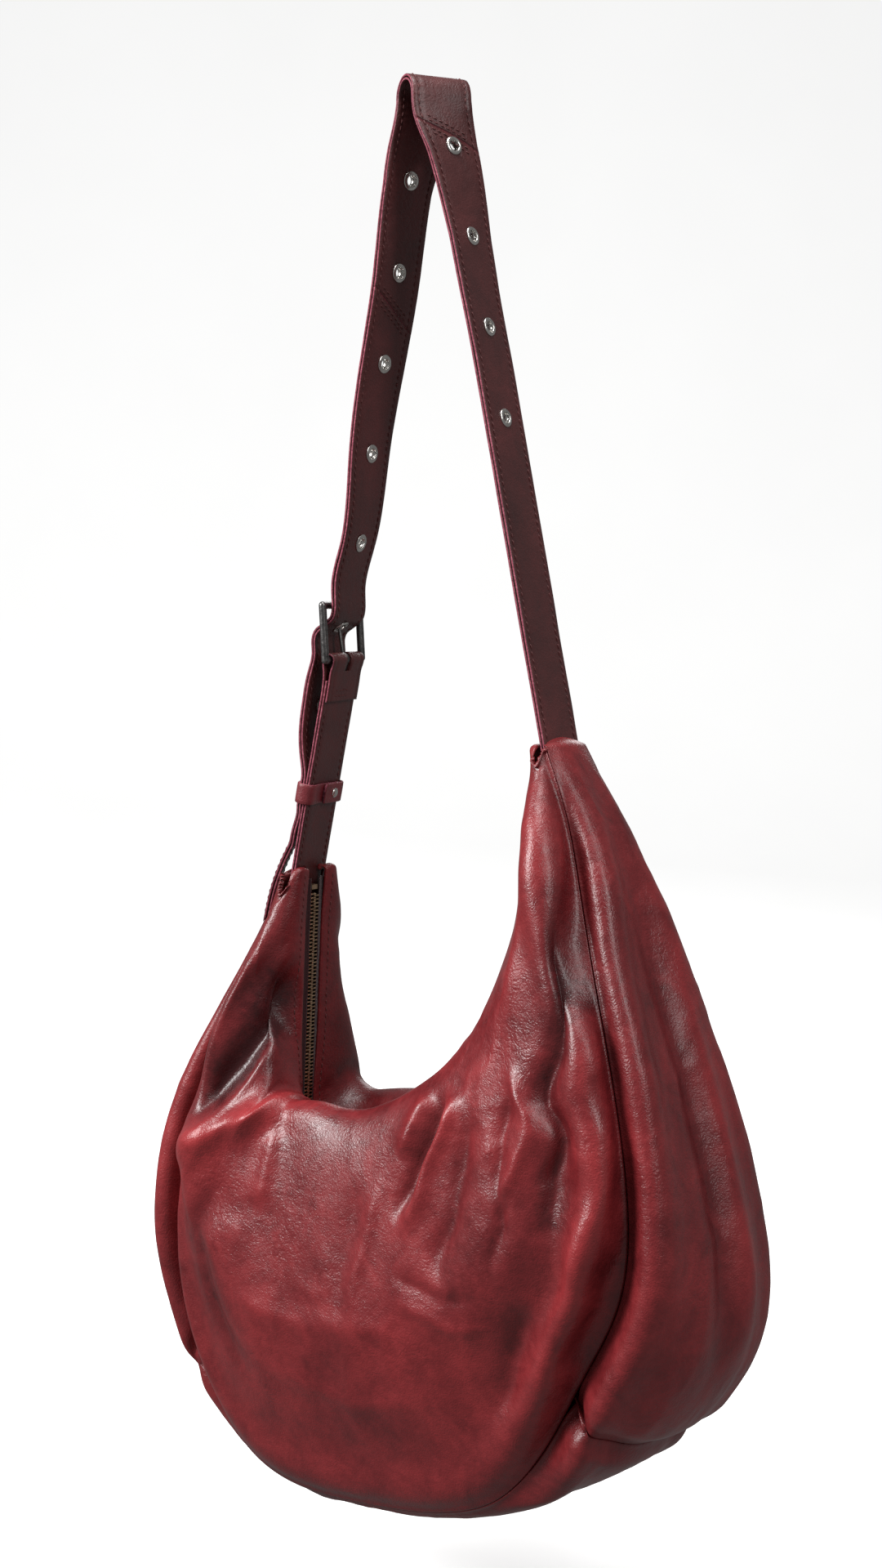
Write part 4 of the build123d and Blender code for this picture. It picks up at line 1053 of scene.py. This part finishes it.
def strap_path():
    lean = np.array([RIGHT_PEAK[0] - 10.0, 0, RIGHT_PEAK[2]])
    right = [RAIL_SIDE * WRAP, (14.5, -3.6, -26.0)]
    right += [np.array([10.0, 0, 0]) + lean * s + FORWARD * (-1.6 * (s < 0.3)) for s in (0.2, 0.45, 0.7)]
    right += [RIGHT_PEAK, RIGHT_PEAK + unit(lean) * 18.0]
    left = [RAIL_SIDE * -WRAP, (-16.0, 4.0, -28.0), (-29.5, 2.0, -104.0), (-40.0, 0.6, -158.0),
            (-49.0, 0, -211.0), (-57.5, 0, -262.6)]
    left += [placed(BUCKLE, out, up) for out, up in BUCKLE_LINE]
    left += [placed(TAB, out, up) for out, up in TAIL_LINE]
    rc, rw, ra = leg(right, RIGHT_TWIST)
    lc, lw, la = leg(left, LEFT_TWIST)
    angle = np.linspace(0, math.pi, 40)[1:-1, None]
    wc = (RAIL_SIDE * np.cos(angle) + UP * np.sin(angle)) * WRAP
    wn = RAIL_SIDE * np.cos(angle) + UP * np.sin(angle)
    wa = np.repeat(RAIL_AXIS[None], len(wc), 0)
    centre = np.concatenate([rc[::-1], wc, lc])
    across = np.concatenate([ra[::-1], wa, la])
    normal = np.concatenate([-np.cross(ra, rw)[::-1], wn, np.cross(la, lw)])
    run = chord_keys(centre)
    top_right = run[len(rc) - 1]
    top_left = run[len(rc) + len(wc)]
    hole = placed(BUCKLE, 2.4, 21.4)
    prong = run[np.argmin(np.linalg.norm(centre - hole, axis=1))]
    return centre, across, normal, run, top_right, top_left, prong


S_CENTRE, S_ACROSS, S_NORMAL, S_RUN, TOP_RIGHT, TOP_LEFT, PRONG_AT = strap_path()
STRAP_PATH = (S_CENTRE, S_ACROSS, S_NORMAL, S_RUN)


def on_path(path, s):
    centre, across, normal, run = path
    shape = np.shape(s)
    flat = np.ravel(s)

    def pick(values):
        return np.stack([np.interp(flat, run, values[:, k]) for k in range(3)], 1).reshape(shape + (3,))
    return pick(centre), unit(pick(across)), unit(pick(normal))


def band_profile(half, low, high, grooves):
    """Outline of a strip of leather: (across, up, on the cut edge) round its section."""
    top = sorted(set([-half + 0.5, half - 0.5] + list(np.linspace(-half + 2.4, half - 2.4, 7))
                     + [g + d for g in grooves for d in (-1.3, 0.0, 1.3)]))
    up = [(c, high - 0.32 * any(abs(c - g) < 0.1 for g in grooves), 0) for c in top]
    down = [(c, low + 0.32 * any(abs(c - g) < 0.1 for g in grooves), 0) for c in reversed(top)]
    right = [(half - 0.12, high - 0.3, 1), (half, (low + high) / 2, 1), (half - 0.12, low + 0.3, 1)]
    left = [(-half + 0.12, low + 0.3, 1), (-half, (low + high) / 2, 1), (-half + 0.12, high - 0.3, 1)]
    return up + right + down + left


def band(name, path, start, end, half, low, high, step=2.2, grooves=(), seed=0.0, rough_edge=0.22):
    """A strip of leather along a path. start and end give the run at a place across it."""
    profile = band_profile(half, low, high, grooves)
    c = np.array([q[0] for q in profile])
    h = np.array([q[1] for q in profile])
    cut = np.array([q[2] for q in profile])
    s0 = np.array([start(x) for x in c])
    s1 = np.array([end(x) for x in c])
    count = max(4, int(abs(np.mean(s1 - s0)) / step))
    share = np.linspace(0, 1, count)[:, None]
    s = s0 + (s1 - s0) * share
    centre, across, normal = on_path(path, s)
    where = centre + seed
    sway = (noise(where, 40.0) - 0.5) * 0.9
    fray = (noise(where * 1.0 + 31, 5.0) - 0.5) * rough_edge * cut
    thick = (noise(centre + across * c[None, :, None] + seed, (14.0, 14.0, 20.0)) - 0.5) * 0.30
    edge = (np.abs(c) / half) ** 4 * 0.25 * np.sign(h - (low + high) / 2)
    side = c + np.sign(c) * fray + sway
    p = centre + across * side[..., None] + normal * (h + thick - edge * 0.5)[..., None]
    cols = len(profile)
    tone_and_painted_light = (noise(where + across * c[None, :, None], (16.0, 16.0, 26.0)) - 0.5) * 0.5 + 0 * s
    verts = p.reshape(-1, 3)
    faces = [tuple(f) for f in grid_faces(count, cols, close=True)]
    index = []
    for f in faces:
        col = [v % cols for v in f]
        index.append(1 if sum(cut[k] for k in col) >= 3 else 0)
    faces.append(tuple(range(cols))[::-1])
    faces.append(tuple(range((count - 1) * cols, count * cols)))
    index += [1, 1]
    obj = mesh_object(name, verts, faces, marks={"tone_and_painted_light": tone_and_painted_light})
    mesh = obj.data
    centre_check = np.mean([np.dot(np.array(mesh.polygons[k].normal),
                                   np.array(mesh.polygons[k].center) * 1000 - centre.reshape(-1, 3)[
                                       mesh.polygons[k].vertices[0]]) for k in range(0, len(index) - 2, 17)])
    if centre_check < 0:
        mesh.flip_normals()
    mesh.materials.append(None)
    mesh.materials.append(None)
    mesh.polygons.foreach_set("material_index", index)
    return obj


def dressed(obj, body, slot, material, *nodes):
    obj.data.materials[0] = material
    obj.data.materials[1] = RAW_EDGE
    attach(obj, body)
    if nodes:
        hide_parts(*nodes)
    return obj


def disc_cutter(places, radius, reach):
    verts, faces = [], []
    sides = 24
    for point, across, normal, way in places:
        start = len(verts)
        for end in (-reach, reach):
            for k in range(sides):
                a = 2 * math.pi * k / sides
                verts.append(point + normal * end + (across * math.cos(a) + way * math.sin(a)) * radius)
        for k in range(sides):
            b = (k + 1) % sides
            faces.append((start + k, start + b, start + sides + b, start + sides + k))
        faces.append(tuple(start + k for k in range(sides))[::-1])
        faces.append(tuple(start + sides + k for k in range(sides)))
    obj = mesh_object("cutter", verts, faces, smooth_shading=False)
    mesh = bmesh.new()
    mesh.from_mesh(obj.data)
    bmesh.ops.recalc_face_normals(mesh, faces=mesh.faces)
    mesh.to_mesh(obj.data)
    mesh.free()
    return obj


def cut_away(obj, cutter):
    mod = obj.modifiers.new("cut", "BOOLEAN")
    mod.operation = "DIFFERENCE"
    mod.solver = "EXACT"
    mod.object = cutter
    frozen(obj)


EYELETS = [TOP_RIGHT - 31.0 - k * EYELET_PITCH for k in range(4)]
EYELETS += [PRONG_AT + k * EYELET_PITCH for k in range(-5, 2)]


def eyelet_frames():
    frames = []
    for s in EYELETS:
        c, a, n = on_path(STRAP_PATH, np.array([s]))
        frames.append((c[0], a[0], n[0], unit(np.cross(n[0], a[0]))))
    return frames


EYELET_FRAMES = eyelet_frames()
END = S_RUN[-1]
SPLICE_ANGLE = 32.0
SLANT = math.tan(math.radians(SPLICE_ANGLE))
SPLICE_OUTER = TOP_RIGHT - 23.9
SPLICE_INNER = TOP_LEFT + 0.235 * 528.5
CENTRE_GAP = LAYER_GAP / 2
GROOVES = (-15.0, 15.0)
LAYERS = [
    ("strap_outer_right_leather", "strap_outer_right", 1, lambda c: 0.0, lambda c: SPLICE_OUTER - c * SLANT - 0.2),
    ("strap_outer_left_leather", "strap_outer_left", 1, lambda c: SPLICE_OUTER - c * SLANT + 0.2,
     lambda c: END - 0.02 * c * c),
    ("strap_inner_right_leather", "strap_inner_right", -1, lambda c: 0.0, lambda c: SPLICE_INNER + c * SLANT - 0.2),
    ("strap_inner_left_leather", "strap_inner_left", -1, lambda c: SPLICE_INNER + c * SLANT + 0.2,
     lambda c: END - 0.02 * c * c),
]
cutter = disc_cutter(EYELET_FRAMES, 3.9, 6.0)
for name, node, side, start, end in LAYERS:
    low, high = (CENTRE_GAP, CENTRE_GAP + LAYER) if side > 0 else (-CENTRE_GAP - LAYER, -CENTRE_GAP)
    piece = band(name, STRAP_PATH, start, end, STRAP_HALF, low, high, grooves=GROOVES, seed=40.0 * side)
    cut_away(piece, cutter)
    dressed(piece, "bag", "strap_leather", STRAP_LEATHER, node)
bpy.data.objects.remove(cutter)


def strap_line(across, side, start, end):
    s = np.arange(start, end, 1.5)
    centre, cross, normal = on_path(STRAP_PATH, s)
    sway = (noise(centre, 40.0) - 0.5) * 0.9
    points = centre + cross * (across + sway)[:, None] + normal * side * (THICK_HALF - 0.12)
    return points, normal * side


parts = []
for side in (1.0, -1.0):
    for across in GROOVES:
        points, up = strap_line(across, side, 16.0, END - 4.0)
        parts.append(stitch_row(points, up, 4.4, 3.5, STITCH_RADIUS))
for centre_at, side, way in ((SPLICE_OUTER, 1.0, -1.0), (SPLICE_INNER, -1.0, 1.0)):
    for offset in (-5.5, -2.6, 2.6, 5.5):
        c = np.linspace(-14.0, 14.0, 30)
        centre, cross, normal = on_path(STRAP_PATH, centre_at + way * c * SLANT + offset)
        points = centre + cross * c[:, None] + normal * side * (THICK_HALF + 0.02)
        parts.append(stitch_row(points, normal * side, 4.0, 3.1, STITCH_RADIUS))
verts, faces = joined(parts)
finish_piece(mesh_object("strap_stitching", verts, faces), "bag", "strap_leather", THREAD)


# -------------------------------------------------------------------- eyelets
def turned(name, frames, profile, sides=32, closed=True):
    """A ring or a knob turned round each frame's normal; profile is (radius, height)."""
    verts, faces = [], []
    count = len(profile)
    for point, across, normal, way in frames:
        start = len(verts)
        for k in range(sides):
            a = 2 * math.pi * k / sides
            radial = across * math.cos(a) + way * math.sin(a)
            for radius, height in profile:
                verts.append(point + radial * radius + normal * height)
        for k in range(sides):
            here, there = start + k * count, start + (k + 1) % sides * count
            for j in range(count if closed else count - 1):
                i = (j + 1) % count
                faces.append((here + j, there + j, there + i, here + i))
    obj = mesh_object(name, verts, faces)
    mesh = bmesh.new()
    mesh.from_mesh(obj.data)
    bmesh.ops.recalc_face_normals(mesh, faces=mesh.faces)
    mesh.to_mesh(obj.data)
    mesh.free()
    return obj


FACE = THICK_HALF + 0.1
RING = [(3.2, -FACE + 0.2), (3.2, FACE + 0.1), (3.35, FACE + 0.55), (3.8, FACE + 0.88), (4.5, FACE + 0.95),
        (5.15, FACE + 0.72), (5.6, FACE + 0.3), (5.7, FACE - 0.05), (5.2, FACE - 0.05), (3.75, FACE - 0.05),
        (3.7, 0.0), (3.7, -FACE + 0.2)]
WASHER = [(3.3, -FACE + 0.05), (5.2, -FACE + 0.05), (5.7, -FACE - 0.1), (5.55, -FACE - 0.4), (5.0, -FACE - 0.62),
          (4.3, -FACE - 0.72), (3.75, -FACE - 0.9), (3.35, -FACE - 0.7), (3.22, -FACE - 0.3)]
finish_piece(turned("eyelet_rings", EYELET_FRAMES, RING), "bag", "nickel", NICKEL, "eyelets")
finish_piece(turned("eyelet_backs", EYELET_FRAMES, WASHER), "bag", "nickel", NICKEL, "eyelet_washers")


# --------------------------------------------------------------- tab and keeper
def flat_path(axes, points, width_axis, origin=HEEL):
    """A path in a plane, for a strip whose width runs along width_axis."""
    points = np.asarray(points, float)
    keys = chord_keys(points)
    curve = Spline(keys, points)
    fine = curve(np.linspace(0, keys[-1], int(keys[-1] * 2) + 8))
    way = unit(np.gradient(fine, axis=0))
    centre = origin + fine[:, :1] * axes[0] + fine[:, 1:] * axes[1]
    direction = way[:, :1] * axes[0] + way[:, 1:] * axes[1]
    across = np.repeat(width_axis[None], len(fine), 0)
    return centre, across, np.cross(direction, across), chord_keys(centre)


BORE, PLY = 2.7, 1.8
tab_plane = (TAB[1], TAB[2])
arc = [((BORE + PLY / 2) * math.cos(a), (BORE + PLY / 2) * math.sin(a)) for a in np.linspace(0, math.pi, 7)]
TAB_LENGTH = float(np.linalg.norm(HEEL - LEFT_PEAK)) + 22.0
outer_line = [(0.95, -TAB_LENGTH), (0.95, -120.0), (0.95, -90.0), (0.95, -60.0), (0.95, -30.0), (1.15, -16.0),
              (2.4, -7.0)] + arc + [(-2.9, -6.0), (-2.85, -13.0), (-2.95, -20.0), (-2.95, -26.0)]
inner_line = [(-0.9, -TAB_LENGTH), (-0.9, -100.0), (-0.9, -50.0), (-0.9, -24.0), (-0.8, -13.0)]


def tab_band(name, line, grooves):
    path = flat_path(tab_plane, line, TAB[0])
    end = path[3][-1]
    return band(name, path, lambda c: 0.0, lambda c: end, STRAP_HALF, -PLY / 2 + 0.04, PLY / 2 - 0.04, 1.2,
                grooves, 70.0)


slot_at = placed(TAB, 0.0, 0.5)
tab_fold = tab_band("tab_fold_leather", outer_line, GROOVES)
tab_stem = tab_band("tab_stem_leather", inner_line, GROOVES)
bpy.ops.mesh.primitive_cube_add(size=1.0)
slot_cutter = bpy.context.object
SLOT_SIZE = (4.4, 20.0, 14.5)   # the prong's slot: width, depth, height
slot_cutter.data.transform(Matrix.Diagonal([side * METRES for side in SLOT_SIZE] + [1.0]))
rotation = Matrix((TAB[0], TAB[1], TAB[2])).transposed().to_4x4()
rotation.translation = slot_at * METRES
slot_cutter.data.transform(rotation)
cut_away(tab_fold, slot_cutter)
bpy.data.objects.remove(slot_cutter)
dressed(tab_fold, "bag", "strap_leather", STRAP_LEATHER, "buckle_tab")
dressed(tab_stem, "bag", "strap_leather", STRAP_LEATHER)
parts = []
for across in GROOVES:
    up = np.arange(-TAB_LENGTH + 20, -20, 1.5)
    for out, way in ((0.95 + 0.8, 1.0), (-0.9 - 0.8, -1.0)):
        points = np.array([placed(TAB, out, z, across) for z in up])
        if way < 0:
            points = points[up < -30.0]
        normals = np.repeat((TAB[1] * way)[None], len(points), 0)
        parts.append(stitch_row(points, normals, 4.4, 3.5, STITCH_RADIUS))
row = np.arange(-12.0, 12.1, 1.5)
for z in (-22.5, -19.0):
    points = np.array([placed(TAB, -2.95 - 0.8, z, a) for a in row])
    parts.append(stitch_row(points, np.repeat(-TAB[1][None], len(points), 0), 4.0, 3.1, STITCH_RADIUS))
verts, faces = joined(parts)
finish_piece(mesh_object("tab_stitching", verts, faces), "bag", "strap_leather", THREAD)

KEEPER_AT = placed(TAB, 0.0, -86.0)
loop_line = [(-4.0, -4.55), (6.0, -4.6), (15.0, -4.5), (19.6, -3.2), (20.9, 0.0), (20.7, 4.5), (18.2, 6.9),
             (10.0, 7.15), (0.0, 7.25), (-10.0, 7.15), (-18.0, 6.9), (-20.4, 4.5), (-20.4, 0.0), (-18.6, -2.5),
             (-10.0, -2.9), (4.0, -2.9), (14.0, -2.9)]
keeper_path = flat_path((TAB[0], TAB[1]), loop_line, TAB[2], KEEPER_AT)
keeper_end = keeper_path[3][-1]
keeper = band("keeper_leather", keeper_path, lambda c: 0.06 * c * c * 0.4, lambda c: keeper_end, 6.5, -0.78, 0.78,
              1.2, (), 20.0)
dressed(keeper, "keeper", "strap_leather", KEEPER_LEATHER, "keeper_loop")
knob_frame = [(KEEPER_AT + TAB[0] * 8.0 - TAB[1] * 5.3, TAB[0], -TAB[1], TAB[2])]
KNOB = [(0.01, 1.55), (0.9, 1.5), (1.9, 1.25), (2.7, 0.8), (3.2, 0.25), (3.25, 0.0), (2.0, -0.1), (1.9, -3.4),
        (0.01, -3.4)]
finish_piece(turned("keeper_stud", knob_frame, KNOB, 28, False), "keeper", "nickel", NICKEL, "keeper_rivet")


# ----------------------------------------------------------------- the studio
AIR_LIGHT, FLOOR_GLOW = 0.20, 0.50


def studio():
    """A pale floor that curves up behind the bag, four soft lamps and even light from the air."""
    floor = Shader("pale_floor", Specular_IOR_Level=0.1, Roughness=0.95, Emission_Strength=FLOOR_GLOW)
    floor.bsdf.inputs["Emission Color"].default_value = (1.0, 1.0, 1.0, 1.0)
    colour = floor.ramp(floor.noise(3.0), [(0.3, (0.90, 0.90, 0.895)), (0.7, (0.93, 0.93, 0.925))])
    material = floor.done(colour)
    profile = [(-4.0, -0.93), (0.0, -0.93), (2.2, -0.93), (3.0, -0.83), (3.5, -0.5), (3.7, 0.1), (3.7, 3.2)]
    curve = Spline(chord_keys(profile), profile)
    line = curve(np.linspace(0, chord_keys(profile)[-1], 60))
    turn = math.radians(35.0)
    verts = []
    for y, z in line:
        for x in np.linspace(-6, 6, 5):
            verts.append((1000 * (x * math.cos(turn) - y * math.sin(turn)),
                          1000 * (x * math.sin(turn) + y * math.cos(turn)), 1000 * z))
    stage = mesh_object("studio_sweep", verts, grid_faces(60, 5))
    stage.data.materials.append(material)
    stage.visible_glossy = False
    stage.visible_diffuse = False
    world = bpy.data.worlds.new("studio_air")
    bpy.context.scene.world = world
    world.use_nodes = True
    world.node_tree.nodes["Background"].inputs["Color"].default_value = (1.0, 1.0, 1.0, 1.0)
    world.node_tree.nodes["Background"].inputs["Strength"].default_value = AIR_LIGHT

    def lamp(name, place, aim, size, power):
        data = bpy.data.lights.new(name, "AREA")
        data.shape = "RECTANGLE"
        data.size, data.size_y = size
        data.energy = power
        obj = bpy.data.objects.new(name, data)
        bpy.context.collection.objects.link(obj)
        obj.location = place
        way = np.array(aim, float) - np.array(place, float)
        obj.rotation_euler = Vector(way).to_track_quat("-Z", "Y").to_euler()

    lamp("key", (-1.35, -1.9, 0.75), (0.0, 0.0, -0.55), (0.7, 1.2), 84.0)
    lamp("right", (2.1, -0.7, 0.9), (0.1, 0.0, -0.6), (0.4, 1.3), 20.0)
    lamp("top", (0.2, -0.4, 1.5), (0.0, 0.0, -0.5), (0.9, 0.9), 30.0)
    lamp("back", (-0.9, 2.2, 0.7), (0.0, 0.0, -0.5), (1.2, 1.2), 16.0)


studio()
camera = bpy.data.objects.new("camera", bpy.data.cameras.new("camera"))
bpy.context.collection.objects.link(camera)
camera.data.lens = 50.0
camera.data.sensor_width = 36.0
camera.data.clip_start = 0.05
camera.location = (0.7638, -1.0831, -0.3169)
AIM, DOWN = math.radians(35.0), math.radians(4.0)
camera.rotation_euler = (math.radians(90.0) - DOWN, 0.0, AIM)
bpy.context.scene.camera = camera
bpy.context.scene.view_settings.view_transform = "Standard"

bpy.context.view_layer.update()
